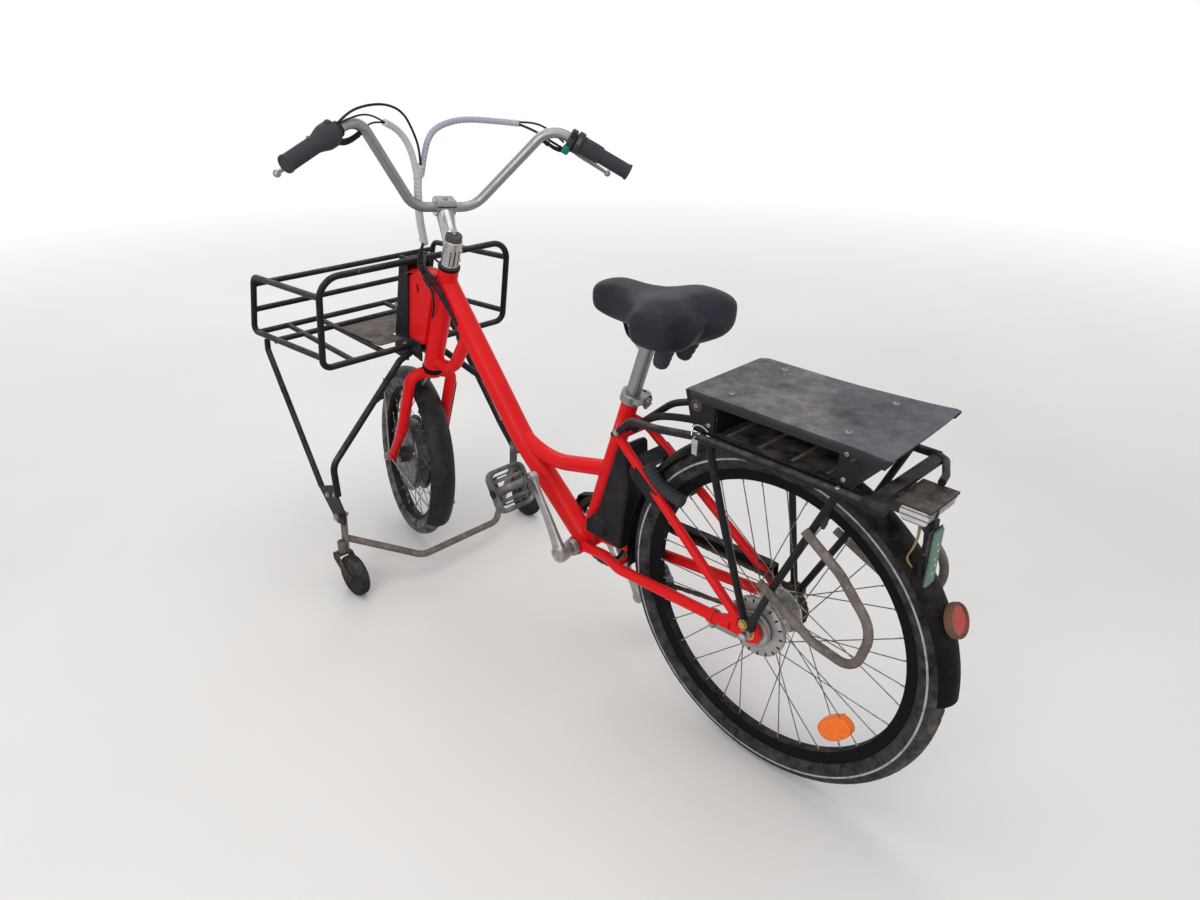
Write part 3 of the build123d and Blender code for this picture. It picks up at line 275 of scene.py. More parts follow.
@dataclass(frozen=True)
class BareMetal:
    """Metal with pits, dull patches and some rust."""

    name: str
    colour: Colour
    rough: float = 0.3
    dull: Colour = (0.2, 0.19, 0.18)
    dull_share: float = 0.5
    rust_level: float = 0.72
    metallic: float = 0.9
    bands: float = 0.0

    def build(self) -> bpy.types.Material:
        """Returns the material."""
        g = Graph(self.name)
        patches = g.step(g.grain(40.0, 6.0, 0.65), 0.42, 0.7, 0.0, self.dull_share)
        tone = g.blend(patches, self.colour, self.dull)
        if self.bands:
            height = g.node("ShaderNodeSeparateXYZ", {0: g.place}).outputs[2]
            lines = g.maths("SINE", g.maths("MULTIPLY", height, self.bands))
            tone = g.blend(g.step(lines, 0.2, 0.9), tone, tuple(c * 0.3 for c in self.colour))
        rust = g.step(g.grain(130.0, 8.0, 0.7), self.rust_level, self.rust_level + 0.04)
        colour = g.blend(rust, tone, (0.13, 0.055, 0.025))
        rough = g.step(g.maths("ADD", patches, rust), 0.0, 1.0, self.rough, self.rough + 0.42)
        metal = g.step(rust, 0.0, 1.0, self.metallic, 0.1)
        normal = g.relief(g.grain(500.0, 4.0, 0.6), 0.2, 0.0002)
        return g.close(Base_Color=colour, Roughness=rough, Metallic=metal, Normal=normal)


@dataclass(frozen=True)
class Moulded:
    """Moulded plastic or rubber with a fine grain, scuffs and dust."""

    name: str
    colour: Colour
    dust: Colour = (0.16, 0.15, 0.14)
    dust_share: float = 0.45
    rough: float = 0.5
    grain: float = 900.0
    depth: float = 0.00012
    specular: float = 0.03

    def build(self) -> bpy.types.Material:
        """Returns the material."""
        g = Graph(self.name)
        patches = g.step(g.grain(22.0, 8.0, 0.72), 0.45, 0.72)
        film = g.maths("MULTIPLY", patches, g.step(g.upward(-0.3, 0.9), 0.0, 1.0, 0.25, 1.0))
        scuffs = g.step(g.grain(60.0, 7.0, 0.72, (1.0, 6.0, 1.0)), 0.66, 0.72, 0.0, 0.4)
        share = g.maths("MULTIPLY", g.maths("MAXIMUM", film, scuffs), self.dust_share)
        colour = g.blend(share, self.colour, self.dust)
        rough = g.step(share, 0.0, 0.5, self.rough, 0.85)
        normal = g.relief(g.grain(self.grain, 3.0, 0.5), 0.5, self.depth)
        return g.close(Base_Color=colour, Roughness=rough, Normal=normal, Specular_IOR_Level=self.specular)


@dataclass(frozen=True)
class RustySteel:
    """Tube whose paint has given way to brown rust, with paler grey on its upward faces that is partly worn
    metal and partly painted highlight.
    """

    name: str
    colour: Colour = (0.115, 0.075, 0.058)
    dark: Colour = (0.035, 0.028, 0.026)
    grey: Colour = (0.24, 0.21, 0.19)

    def build(self) -> bpy.types.Material:
        """Returns the material."""
        g = Graph(self.name)
        broad = g.step(g.grain(18.0, 7.0, 0.7), 0.36, 0.66)
        tone = g.blend(broad, self.colour, self.dark)
        # Paler grey on upward and side faces, none underneath: partly worn metal, partly painted highlight.
        worn = g.maths("MULTIPLY", g.step(g.grain(70.0, 8.0, 0.7), 0.5, 0.66), g.upward(-0.4, 0.8))
        colour = g.blend(g.maths("MULTIPLY", worn, 0.75), tone, self.grey)
        rough = g.step(worn, 0.0, 1.0, 0.82, 0.5)
        normal = g.relief(g.grain(320.0, 8.0, 0.7), 0.35, 0.0003)
        return g.close(Base_Color=colour, Roughness=rough, Metallic=0.1, Normal=normal,
            Specular_IOR_Level=0.08)


@dataclass(frozen=True)
class DeckSheet:
    """Painted sheet of the rack deck, scuffed to grey by loads; towards the rear its scuffs are darker and
    bluer, a painted shade.
    """

    name: str

    def build(self) -> bpy.types.Material:
        """Returns the material."""
        g = Graph(self.name)
        broad = g.step(g.grain(9.0, 9.0, 0.72), 0.36, 0.60)
        fine = g.step(g.grain(46.0, 9.0, 0.75), 0.4, 0.62)
        worn = g.maths("MULTIPLY", g.maths("ADD", g.maths("MULTIPLY", broad, 0.7),
            g.maths("MULTIPLY", fine, 0.4)), g.upward(0.1, 0.9))
        # Painted shade: past a diagonal edge towards the rear of the deck, the scuffs turn from pale warm
        # grey to a darker, bluer grey.
        ahead = g.node("ShaderNodeSeparateXYZ", {0: g.place})
        painted_shade_edge = g.maths("ADD", ahead.outputs[0], g.maths("MULTIPLY", ahead.outputs[1], 0.55))
        rear = g.step(g.maths("ADD", painted_shade_edge, g.maths("MULTIPLY", g.grain(16.0, 5.0), 0.12)), -0.035, 0.02,
            1.0, 0.0)
        light = g.blend(rear, (0.190, 0.176, 0.168), (0.110, 0.112, 0.124))
        tone = g.blend(worn, (0.020, 0.020, 0.023), light)
        lines = g.step(g.grain(26.0, 9.0, 0.8, (1.0, 14.0, 1.0)), 0.66, 0.70, 0.0, 0.55)
        across = g.step(g.grain(24.0, 9.0, 0.8, (13.0, 1.0, 1.0)), 0.68, 0.72, 0.0, 0.5)
        scratch = g.maths("MULTIPLY", g.maths("MAXIMUM", lines, across), g.upward(0.1, 0.9))
        bright = g.blend(scratch, tone, (0.42, 0.41, 0.39))
        spots = g.step(g.grain(75.0, 9.0, 0.75), 0.66, 0.71, 0.0, 0.8)
        colour = g.blend(spots, bright, (0.10, 0.055, 0.035))
        rough = g.step(worn, 0.0, 1.0, 0.42, 0.66)
        normal = g.relief(g.maths("ADD", g.grain(120.0, 8.0, 0.7), scratch), 0.3, 0.0003)
        return g.close(Base_Color=colour, Roughness=rough, Normal=normal, Specular_IOR_Level=0.12)


@dataclass(frozen=True)
class TyreRubber:
    """Tyre rubber, dusty on tread and wall, with a stripe where asked."""

    name: str
    centre: Vector
    axis: Vector
    stripe: tuple[float, float]
    stripe_colour: Colour
    tread_from: float
    dust: Colour = (0.17, 0.155, 0.14)
    wall_dust: float = 0.35

    def build(self) -> bpy.types.Material:
        """Returns the material."""
        g = Graph(self.name)
        radius = g.away(self.centre, self.axis)
        tread = g.step(radius, self.tread_from - 0.006, self.tread_from + 0.004)
        patches = g.step(g.grain(38.0, 8.0, 0.7), 0.34, 0.66)
        share = g.maths("MULTIPLY", patches, g.step(tread, 0.0, 1.0, self.wall_dust, 0.85))
        rubber = g.blend(share, (0.011, 0.011, 0.013), self.dust)
        low, high = self.stripe
        inner = g.step(radius, low - 0.0006, low + 0.0004)
        outer = g.step(radius, high - 0.0004, high + 0.0006, 1.0, 0.0)
        band = g.maths("MULTIPLY", g.maths("MULTIPLY", inner, outer), g.step(g.grain(60.0, 5.0, 0.6), 0.3,
            0.5, 0.35, 0.95))
        colour = g.blend(band, rubber, self.stripe_colour)
        rough = g.step(share, 0.0, 1.0, 0.62, 0.9)
        normal = g.relief(g.grain(420.0, 5.0, 0.6), 0.4, 0.0003)
        return g.close(Base_Color=colour, Roughness=rough, Normal=normal, Specular_IOR_Level=0.03)


@dataclass(frozen=True)
class WheelMetal:
    """Hub and spokes in one: alloy near the axle, dull steel wires further out."""

    name: str
    centre: Vector
    axis: Vector
    shell_radius: float
    shell: Colour
    wire: Colour = (0.19, 0.18, 0.17)

    def build(self) -> bpy.types.Material:
        """Returns the material."""
        g = Graph(self.name)
        radius = g.away(self.centre, self.axis)
        outside = g.step(radius, self.shell_radius, self.shell_radius + 0.002)
        patches = g.step(g.grain(55.0, 7.0, 0.68), 0.4, 0.68)
        hub = g.blend(patches, self.shell, tuple(c * 0.3 for c in self.shell))
        wires = g.blend(g.step(g.grain(90.0, 4.0), 0.4, 0.65), self.wire, (0.07, 0.06, 0.055))
        colour = g.blend(outside, hub, wires)
        rough = g.step(patches, 0.0, 1.0, 0.32, 0.62)
        normal = g.relief(g.grain(400.0, 5.0, 0.6), 0.25, 0.0003)
        return g.close(Base_Color=colour, Roughness=rough, Metallic=0.8, Normal=normal)


@dataclass(frozen=True)
class SaddleCover:
    """Soft moulded saddle cover with a leather-like grain."""

    name: str

    def build(self) -> bpy.types.Material:
        """Returns the material."""
        g = Graph(self.name)
        cells = g.node("ShaderNodeTexVoronoi", {"Vector": g.place, "Scale": 620.0},
            feature="DISTANCE_TO_EDGE").outputs[0]
        creases = g.step(cells, 0.0, 0.12)
        tone = g.blend(g.step(g.grain(12.0, 5.0, 0.6), 0.35, 0.7), (0.013, 0.013, 0.019),
            (0.022, 0.023, 0.032))
        dusty = g.maths("MULTIPLY", g.step(g.grain(34.0, 8.0, 0.72), 0.5, 0.75, 0.0, 0.12), g.upward())
        colour = g.blend(dusty, tone, (0.2, 0.19, 0.18))
        normal = g.relief(g.maths("ADD", creases, g.grain(60.0, 3.0)), 0.35, 0.0003)
        return g.close(Base_Color=colour, Roughness=0.48, Normal=normal, Specular_IOR_Level=0.12)


@dataclass(frozen=True)
class Lens:
    """Prismatic reflector plastic."""

    name: str
    colour: Colour
    dust_share: float = 0.35

    def build(self) -> bpy.types.Material:
        """Returns the material."""
        g = Graph(self.name)
        cells = g.node("ShaderNodeTexVoronoi", {"Vector": g.place, "Scale": 330.0}, feature="F1",
            distance="CHEBYCHEV").outputs[0]
        film = g.step(g.grain(90.0, 7.0, 0.7), 0.45, 0.7, 0.0, self.dust_share)
        facets = g.blend(g.step(cells, 0.1, 0.7), tuple(min(1.0, c * 1.1) for c in self.colour),
            tuple(c * 0.8 for c in self.colour))
        colour = g.blend(film, facets, (0.28, 0.2, 0.16))
        return g.close(Base_Color=colour, Roughness=0.25, Normal=g.relief(cells, 0.35, 0.0004),
            Specular_IOR_Level=0.3)


@dataclass(frozen=True)
class CircuitBoard:
    """Bare board with paler tracks and solder spots, corroded by the weather."""

    name: str

    def build(self) -> bpy.types.Material:
        """Returns the material."""
        g = Graph(self.name)
        turned = g.node("ShaderNodeMapping", {"Vector": g.place, "Scale": (1.0, 150.0, 60.0)})
        cells = g.node("ShaderNodeTexVoronoi", {"Vector": turned.outputs[0], "Scale": 1.0}, feature="F1",
            distance="MANHATTAN")
        tracks = g.step(cells.outputs[0], 0.42, 0.5)
        pads = g.step(cells.outputs[0], 0.10, 0.16, 1.0, 0.0)
        board = g.blend(tracks, (0.045, 0.125, 0.085), (0.075, 0.17, 0.125))
        dirty = g.blend(g.step(g.grain(150.0, 8.0, 0.7), 0.5, 0.68, 0.0, 0.7), board, (0.16, 0.18, 0.15))
        colour = g.blend(pads, dirty, (0.42, 0.41, 0.38))
        return g.close(Base_Color=colour, Roughness=0.5, Normal=g.relief(pads, 0.4, 0.0006))


FRONT_AXIS = TURN @ LEFT

FINISHES = (
    WornPaint("red_paint", (0.66, 0.008, 0.011), (0.16, 0.05, 0.04), dust_share=0.06, chip_level=0.72,
        rough=0.30, coat=0.10, specular=0.06),
    WornPaint("black_paint", (0.011, 0.011, 0.014), (0.13, 0.115, 0.105), dust_share=0.55, chip_level=0.64,
        rough=0.42, specular=0.11),
    WornPaint("dusty_black", (0.007, 0.007, 0.008), (0.10, 0.085, 0.075), dust_share=0.3, chip_level=0.67,
        rough=0.5),
    WornPaint("brown_grime", (0.060, 0.048, 0.043), (0.14, 0.11, 0.095), (0.20, 0.17, 0.155), 0.75, 0.62,
        0.6),
    DeckSheet("deck_sheet"),
    BareMetal("satin_alloy", (0.29, 0.285, 0.28), 0.36, dull_share=0.3, rust_level=0.8),
    BareMetal("zinc_steel", (0.34, 0.33, 0.32), 0.36, dull_share=0.6, rust_level=0.68),
    BareMetal("bright_chrome", (0.46, 0.455, 0.455), 0.20, dull_share=0.35, rust_level=0.76),
    BareMetal("dull_screw", (0.26, 0.25, 0.235), 0.5, dull=(0.11, 0.10, 0.09), dull_share=0.8,
        rust_level=0.62, metallic=0.6),
    BareMetal("gold_washer", (0.60, 0.38, 0.11), 0.3, dull_share=0.3, rust_level=0.78),
    Moulded("black_plastic", (0.014, 0.013, 0.016), dust_share=0.25, specular=0.07),
    Moulded("guard_plastic", (0.016, 0.016, 0.018), dust=(0.12, 0.115, 0.11), dust_share=0.3, rough=0.36,
        specular=0.08),
    Moulded("grip_rubber", (0.040, 0.040, 0.048), dust_share=0.12, rough=0.62, grain=600.0, specular=0.10),
    Moulded("grey_wrap", (0.52, 0.52, 0.53), dust=(0.25, 0.24, 0.23), dust_share=0.4, rough=0.55),
    Moulded("blue_wrap", (0.36, 0.38, 0.43), dust=(0.2, 0.2, 0.22), dust_share=0.5, rough=0.55),
    Moulded("grey_cap", (0.075, 0.070, 0.070), dust=(0.25, 0.24, 0.23), dust_share=0.3, rough=0.5),
    Moulded("teal_plastic", (0.012, 0.16, 0.12), dust_share=0.2, rough=0.45),
    Moulded("worn_pedal", (0.085, 0.085, 0.085), dust=(0.36, 0.355, 0.34), dust_share=0.85, rough=0.42),
    Moulded("pale_tie", (0.55, 0.55, 0.53), dust=(0.3, 0.28, 0.26), dust_share=0.4, rough=0.45),
    Moulded("brown_window", (0.10, 0.075, 0.07), dust=(0.45, 0.44, 0.43), dust_share=0.5, rough=0.3),
    Moulded("brown_wire", (0.26, 0.18, 0.10), dust=(0.35, 0.31, 0.26), dust_share=0.4, rough=0.5),
    Moulded("brown_bezel", (0.11, 0.075, 0.045), dust=(0.22, 0.17, 0.13), dust_share=0.5, rough=0.5),
    BareMetal("forged_alloy", (0.38, 0.37, 0.365), 0.36, dull=(0.22, 0.20, 0.19), dull_share=0.55,
        rust_level=0.8, metallic=0.75),
    Moulded("castor_rubber", (0.022, 0.022, 0.023), dust_share=0.6, rough=0.7),
    # The third colour of RustySteel is the grey of worn metal and painted highlight on upward faces.
    RustySteel("rusty_tube", (0.190, 0.155, 0.138), (0.090, 0.072, 0.064), (0.27, 0.235, 0.22)),
    BareMetal("banded_chrome", (0.62, 0.61, 0.61), 0.16, dull_share=0.25, rust_level=0.78, bands=700.0),
    RustySteel("chain_steel", (0.10, 0.07, 0.05), (0.03, 0.025, 0.022), (0.2, 0.17, 0.15)),
    SaddleCover("saddle_cover"),
    Lens("red_lens", (0.42, 0.022, 0.016)),
    Lens("orange_lens", (0.92, 0.17, 0.012), 0.08),
    CircuitBoard("circuit_board"),
    TyreRubber("rear_rubber", REAR_AXLE, LEFT, (0.3020, 0.3052), (0.38, 0.39, 0.40), 0.319),
    TyreRubber("front_rubber", steered(FRONT_AXLE), FRONT_AXIS, (0.1995, 0.2000), (0.3, 0.3, 0.3), 0.213,
        dust=(0.30, 0.28, 0.26), wall_dust=0.55),
    WheelMetal("rear_hub_metal", REAR_AXLE, LEFT, 0.058, (0.50, 0.49, 0.47)),
    WheelMetal("motor_metal", steered(FRONT_AXLE), FRONT_AXIS, 0.1005, (0.10, 0.10, 0.105),
        (0.16, 0.155, 0.15)),
)

NODE_FINISH = {
    "red_paint": "main_frame rear_stays head_shield fork",
    "black_paint": "front_rack stand_struts rear_rack battery_bay rack_channel",
    "dusty_black": "saddle_rails chain_guard rear_rim front_rim rear_mudguard",
    "brown_grime": "lamp_cover front_rack_plate",
    "deck_sheet": "rack_deck",
    "satin_alloy": "seat_post brake_arm crankset handlebar brake_levers",
    "zinc_steel": "stand_spring rear_axle front_axle mudguard_stays",
    "bright_chrome": "stem",
    "banded_chrome": "lamp_trough",
    "black_plastic": "controller_case ring_lock frame_cables pedal_left pedal_right bar_controls motor_lead",
    "guard_plastic": "front_mudguard",
    "grip_rubber": "grips",
    "grey_wrap": "bar_cables",
    "castor_rubber": "castor_wheel_left castor_wheel_right",
    "rusty_tube": "side_loops folding_stand",
    "chain_steel": "chain castor_fork_left castor_fork_right",
    "saddle_cover": "saddle",
    "red_lens": "round_reflector",
    "circuit_board": "circuit_board",
    "rear_rubber": "rear_tyre",
    "front_rubber": "front_tyre",
    "rear_hub_metal": "rear_hub",
    "motor_metal": "motor_hub",
}


# Meshes


def mesh_piece(name: str, points: Sequence[Point], faces: Sequence[Sequence[int]], finish: str,
        smooth: bool = True) -> bpy.types.Object:
    """Makes an object from points and faces.

    Args:
        name: Name of the piece.
        points: Vertices, in the frame's metres.
        faces: Corner numbers of each face.
        finish: Name of the material.
        smooth: True for smooth shading.

    Returns:
        The linked object.
    """
    mesh = bpy.data.meshes.new(name)
    mesh.from_pydata([tuple(p) for p in points], [], [tuple(f) for f in faces])
    mesh.materials.append(MADE[finish])
    mesh.polygons.foreach_set("use_smooth", [smooth] * len(mesh.polygons))
    mesh.update()
    piece = bpy.data.objects.new(name, mesh)
    bpy.context.scene.collection.objects.link(piece)
    return piece


def outward(piece: bpy.types.Object, merge: float = 1e-6) -> bpy.types.Object:
    """Merges doubles and points the faces outwards."""
    work = bmesh.new()
    work.from_mesh(piece.data)
    bmesh.ops.remove_doubles(work, verts=work.verts, dist=merge)
    bmesh.ops.recalc_face_normals(work, faces=work.faces)
    work.to_mesh(piece.data)
    work.free()
    return piece


def baked(piece: bpy.types.Object) -> bpy.types.Object:
    """Turns an object with modifiers or a curve into a plain mesh object of the same name."""
    bpy.context.view_layer.update()
    graph = bpy.context.evaluated_depsgraph_get()
    mesh = bpy.data.meshes.new_from_object(piece.evaluated_get(graph), depsgraph=graph)
    name = piece.name
    bpy.data.objects.remove(piece)
    mesh.name = name
    result = bpy.data.objects.new(name, mesh)
    bpy.context.scene.collection.objects.link(result)
    return result


def seat(piece: bpy.types.Object, body: Body, replaces: Sequence[str] = ()) -> bpy.types.Object:
    """Hands a finished piece to the frame.

    Args:
        piece: Finished object.
        body: Body that it moves with.
        replaces: CAD nodes that it stands for.

    Returns:
        The piece.
    """
    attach(piece, body.value)
    if replaces:
        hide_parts(*replaces)
    LOG.info("%s: %d faces on %s", piece.name, len(piece.data.polygons), body.value)
    return piece


def mm(*numbers: float) -> list[tuple[float, float]]:
    """Returns pairs in metres from a row of numbers in millimetres."""
    return [(first / 1000, second / 1000) for first, second in zip(numbers[::2], numbers[1::2])]


def around(count: int, shift: float = 0.0) -> list[float]:
    """Returns even angles of a full turn, moved on by a share of one step."""
    return [2 * math.pi * (step + shift) / count for step in range(count)]


def frame_of(axis: Vector) -> Matrix:
    """Returns a turn whose Z runs along axis."""
    return axis.normalized().to_track_quat("Z", "Y").to_matrix()


def turned_ring(
    name: str,
    profile: Sequence[tuple[float, float]],
    centre: Vector,
    axis: Vector,
    finish: str,
    segments: int = 96,
    wave: Callable[[float, int], float] | None = None,
) -> bpy.types.Object:
    """Turns a closed profile round an axis.

    Args:
        name: Name of the piece.
        profile: Closed loop of (radius, distance along the axis).
        centre: Point on the axis.
        axis: Direction of the axis.
        finish: Name of the material.
        segments: Steps round the axis.
        wave: Change of radius for an angle and a profile point.

    Returns:
        The ring.
    """
    turn = frame_of(axis)
    points = []
    for angle in around(segments):
        for index, (radius, along) in enumerate(profile):
            r = radius + (wave(angle, index) if wave else 0.0)
            points.append(centre + turn @ Vector((r * math.cos(angle), r * math.sin(angle), along)))
    count = len(profile)
    faces = []
    for step in range(segments):
        ahead = (step + 1) % segments
        for index in range(count):
            after = (index + 1) % count
            faces.append((step * count + index, ahead * count + index, ahead * count + after,
                step * count + after))
    return outward(mesh_piece(name, points, faces, finish))


def lathe(name: str, profile: Sequence[tuple[float, float]], start: Vector, axis: Vector, finish: str,
        segments: int = 32) -> bpy.types.Object:
    """Turns an open profile, which starts and ends on the axis, into a closed body."""
    turn = frame_of(axis)
    points: list[Vector] = []
    rows: list[list[int]] = []
    for radius, along in profile:
        if radius < 1e-7:
            rows.append([len(points)] * segments)
            points.append(start + turn @ Vector((0, 0, along)))
            continue
        rows.append(list(range(len(points), len(points) + segments)))
        for angle in around(segments):
            points.append(start + turn @ Vector((radius * math.cos(angle), radius * math.sin(angle), along)))
    faces = []
    for low, high in zip(rows, rows[1:]):
        for step in range(segments):
            ahead = (step + 1) % segments
            corners = dict.fromkeys((low[step], low[ahead], high[ahead], high[step]))
            if len(corners) > 2:
                faces.append(tuple(corners))
    return outward(mesh_piece(name, points, faces, finish))


def join(name: str, pieces: Sequence[bpy.types.Object]) -> bpy.types.Object:
    """Puts several meshes of one body into one piece, each with its own material."""
    work = bmesh.new()
    finishes: list[bpy.types.Material] = []
    for piece in pieces:
        material = piece.data.materials[0]
        if material not in finishes:
            finishes.append(material)
        first = len(work.faces)
        work.from_mesh(piece.data)
        work.faces.ensure_lookup_table()
        for face in work.faces[first:]:
            face.material_index = finishes.index(material)
        bpy.data.objects.remove(piece)
    mesh = bpy.data.meshes.new(name)
    work.to_mesh(mesh)
    work.free()
    for material in finishes:
        mesh.materials.append(material)
    result = bpy.data.objects.new(name, mesh)
    bpy.context.scene.collection.objects.link(result)
    return result


class Repeat:
    """Sets one shape at many spots through a Geometry Nodes tree."""

    def __init__(self, shape: bpy.types.Object, finish: str) -> None:
        """Keeps the shape.

        Args:
            shape: Object that is repeated, drawn round the origin.
            finish: Name of the material.
        """
        self.shape = shape
        self.finish = finish

    def tree(self) -> bpy.types.NodeTree:
        """Returns the tree that puts the shape on every point."""
        group = bpy.data.node_groups.new("repeat_" + self.shape.name, "GeometryNodeTree")
        sides = group.interface
        sides.new_socket("Spots", in_out="INPUT", socket_type="NodeSocketGeometry")
        sides.new_socket("Shape", in_out="INPUT", socket_type="NodeSocketObject")
        sides.new_socket("Size", in_out="INPUT", socket_type="NodeSocketFloat").default_value = 1.0
        sides.new_socket("Finish", in_out="INPUT", socket_type="NodeSocketMaterial")
        sides.new_socket("Geometry", in_out="OUTPUT", socket_type="NodeSocketGeometry")
        nodes, links = group.nodes, group.links
        source = nodes.new("NodeGroupInput")
        target = nodes.new("NodeGroupOutput")
        to_points = nodes.new("GeometryNodeMeshToPoints")
        info = nodes.new("GeometryNodeObjectInfo")
        turns = nodes.new("GeometryNodeInputNamedAttribute")
        turns.data_type = "FLOAT_VECTOR"
        turns.inputs["Name"].default_value = "turn"
        to_turn = nodes.new("FunctionNodeEulerToRotation")
        place = nodes.new("GeometryNodeInstanceOnPoints")
        real = nodes.new("GeometryNodeRealizeInstances")
        dress = nodes.new("GeometryNodeSetMaterial")
        links.new(source.outputs["Spots"], to_points.inputs["Mesh"])
        links.new(to_points.outputs[0], place.inputs["Points"])
        links.new(source.outputs["Shape"], info.inputs["Object"])
        links.new(info.outputs["Geometry"], place.inputs["Instance"])
        links.new(turns.outputs["Attribute"], to_turn.inputs[0])
        links.new(to_turn.outputs[0], place.inputs["Rotation"])
        links.new(source.outputs["Size"], place.inputs["Scale"])
        links.new(place.outputs[0], real.inputs[0])
        links.new(real.outputs[0], dress.inputs["Geometry"])
        links.new(source.outputs["Finish"], dress.inputs["Material"])
        links.new(dress.outputs[0], target.inputs[0])
        return group

    def at(self, name: str, spots: Sequence[tuple[Vector, Matrix]], size: float = 1.0) -> bpy.types.Object:
        """Places the shape, which is removed afterwards.

        Args:
            name: Name of the result.
            spots: Place and turn of each copy.
            size: Scale of every copy.

        Returns:
            One plain mesh object with every copy.
        """
        base = mesh_piece(name, [place for place, _ in spots], [], self.finish)
        turns = base.data.attributes.new("turn", "FLOAT_VECTOR", "POINT")
        for index, (_, turn) in enumerate(spots):
            turns.data[index].vector = turn.to_euler("XYZ")
        group = self.tree()
        modifier = base.modifiers.new("repeat", "NODES")
        modifier.node_group = group
        values = {"Shape": self.shape, "Size": size, "Finish": MADE[self.finish]}
        for item in group.interface.items_tree:
            if item.in_out == "INPUT" and item.name in values:
                modifier[item.identifier] = values[item.name]
        result = baked(base)
        bpy.data.node_groups.remove(group)
        bpy.data.objects.remove(self.shape)
        result.data.polygons.foreach_set("use_smooth", [True] * len(result.data.polygons))
        return result


def shaded(piece: bpy.types.Object, degrees: float = 35.0) -> bpy.types.Object:
    """Shades smooth, with sharp edges where faces meet at more than the given angle."""
    piece.data.polygons.foreach_set("use_smooth", [True] * len(piece.data.polygons))
    work = bmesh.new()
    work.from_mesh(piece.data)
    for edge in work.edges:
        if len(edge.link_faces) == 2:
            edge.smooth = edge.calc_face_angle(0.0) < math.radians(degrees)
    work.to_mesh(piece.data)
    work.free()
    return piece


def hand_in(name: str, parts: Sequence[bpy.types.Object], degrees: float, body: Body,
        replaces: Sequence[str] = ()) -> bpy.types.Object:
    """Joins parts into one piece and hands it to the frame.

    Args:
        name: Name of the piece.
        parts: Meshes of one body.
        degrees: Angle above which an edge stays sharp.
        body: Body that it moves with.
        replaces: CAD nodes that it stands for.

    Returns:
        The piece.
    """
    return seat(join(name, [shaded(part, degrees) for part in parts]), body, replaces)


# Shapes that several sub-assemblies share


def line_of(route: Sequence[Point]) -> list[Vector]:
    """Returns points along the smooth NURBS line of a route.

    Args:
        route: Control points.

    Returns:
        Points read from the line, from its start to its end.
    """
    curve = bpy.data.curves.new("route", "CURVE")
    curve.dimensions = "3D"
    spline = curve.splines.new("NURBS")
    spline.points.add(len(route) - 1)
    for spot, place in zip(spline.points, route):
        spot.co = (*place, 1.0)
    spline.order_u = 3
    spline.use_endpoint_u = True
    spline.resolution_u = 24
    holder = bpy.data.objects.new("route", curve)
    bpy.context.scene.collection.objects.link(holder)
    drawn = baked(holder)
    points = [v.co.copy() for v in drawn.data.vertices]
    bpy.data.objects.remove(drawn)
    return points


def evenly(points: Sequence[Vector], spacing: float) -> list[Vector]:
    """Returns points at even distances along a line of points."""
    lengths = [0.0]
    for first, second in zip(points, points[1:]):
        lengths.append(lengths[-1] + (second - first).length)
    count = max(2, round(lengths[-1] / spacing))
    spread, at = [], 0
    for step in range(count + 1):
        target = lengths[-1] * step / count
        while at < len(points) - 2 and lengths[at + 1] < target:
            at += 1
        span = max(lengths[at + 1] - lengths[at], 1e-9)
        spread.append(points[at].lerp(points[at + 1], min(1.0, (target - lengths[at]) / span)))
    return spread


def oval(centre: Vector, across: Vector, up: Vector, wide: float, high: float, square: float = 1.0,
        count: int = 20) -> list[Vector]:
    """Returns the points of an oval round a centre, boxier for a square below 1."""
    ring = []
    for angle in around(count):
        c, s = math.cos(angle), math.sin(angle)
        ring.append(centre + across * (wide * math.copysign(abs(c) ** square, c)) + up
            * (high * math.copysign(abs(s) ** square, s)))
    return ring


def loft(name: str, rings: Sequence[Sequence[Vector]], finish: str, closed: bool = False) -> bpy.types.Object:
    """Joins rings of equal count into a skin.

    Args:
        name: Name of the piece.
        rings: Rings of points, in order.
        finish: Name of the material.
        closed: True where the last ring meets the first; otherwise both ends are capped.

    Returns:
        The closed body.
    """
    count = len(rings[0])
    points = [p for ring in rings for p in ring]
    faces: list[tuple[int, ...]] = []
    for row in range(len(rings) if closed else len(rings) - 1):
        after = (row + 1) % len(rings)
        for step in range(count):
            ahead = (step + 1) % count
            faces.append((row * count + step, row * count + ahead, after * count + ahead,
                after * count + step))
    if not closed:
        faces.append(tuple(range(count)))
        faces.append(tuple(range((len(rings) - 1) * count, len(rings) * count)))
    return outward(mesh_piece(name, points, faces, finish))


def swept(name: str, path: Sequence[Vector], finish: str, radius: Callable[[float, float], float],
        sides: int = 14, closed: bool = False) -> bpy.types.Object:
    """Draws a tube along a path, whose radius may change along and round it.

    Args:
        name: Name of the piece.
        path: Points of the centre line.
        finish: Name of the material.
        radius: Radius for a distance along the path and an angle round it.
        sides: Steps round the tube.
        closed: True where the path is a loop.

    Returns:
        The tube.
    """
    count = len(path)
    ways = []
    for index in range(count):
        before = path[index - 1] if index or closed else path[0]
        after = path[(index + 1) % count] if index < count - 1 or closed else path[-1]
        ways.append((after - before).normalized())
    across = ways[0].orthogonal().normalized()
    rings, along = [], 0.0
    for index, (centre, way) in enumerate(zip(path, ways)):
        if index:
            along += (centre - path[index - 1]).length
            across = (across - way * across.dot(way)).normalized()
        up = way.cross(across)
        ring = []
        for angle in around(sides):
            ring.append(centre + (across * math.cos(angle) + up * math.sin(angle)) * radius(along, angle))
        rings.append(ring)
    return loft(name, rings, finish, closed)


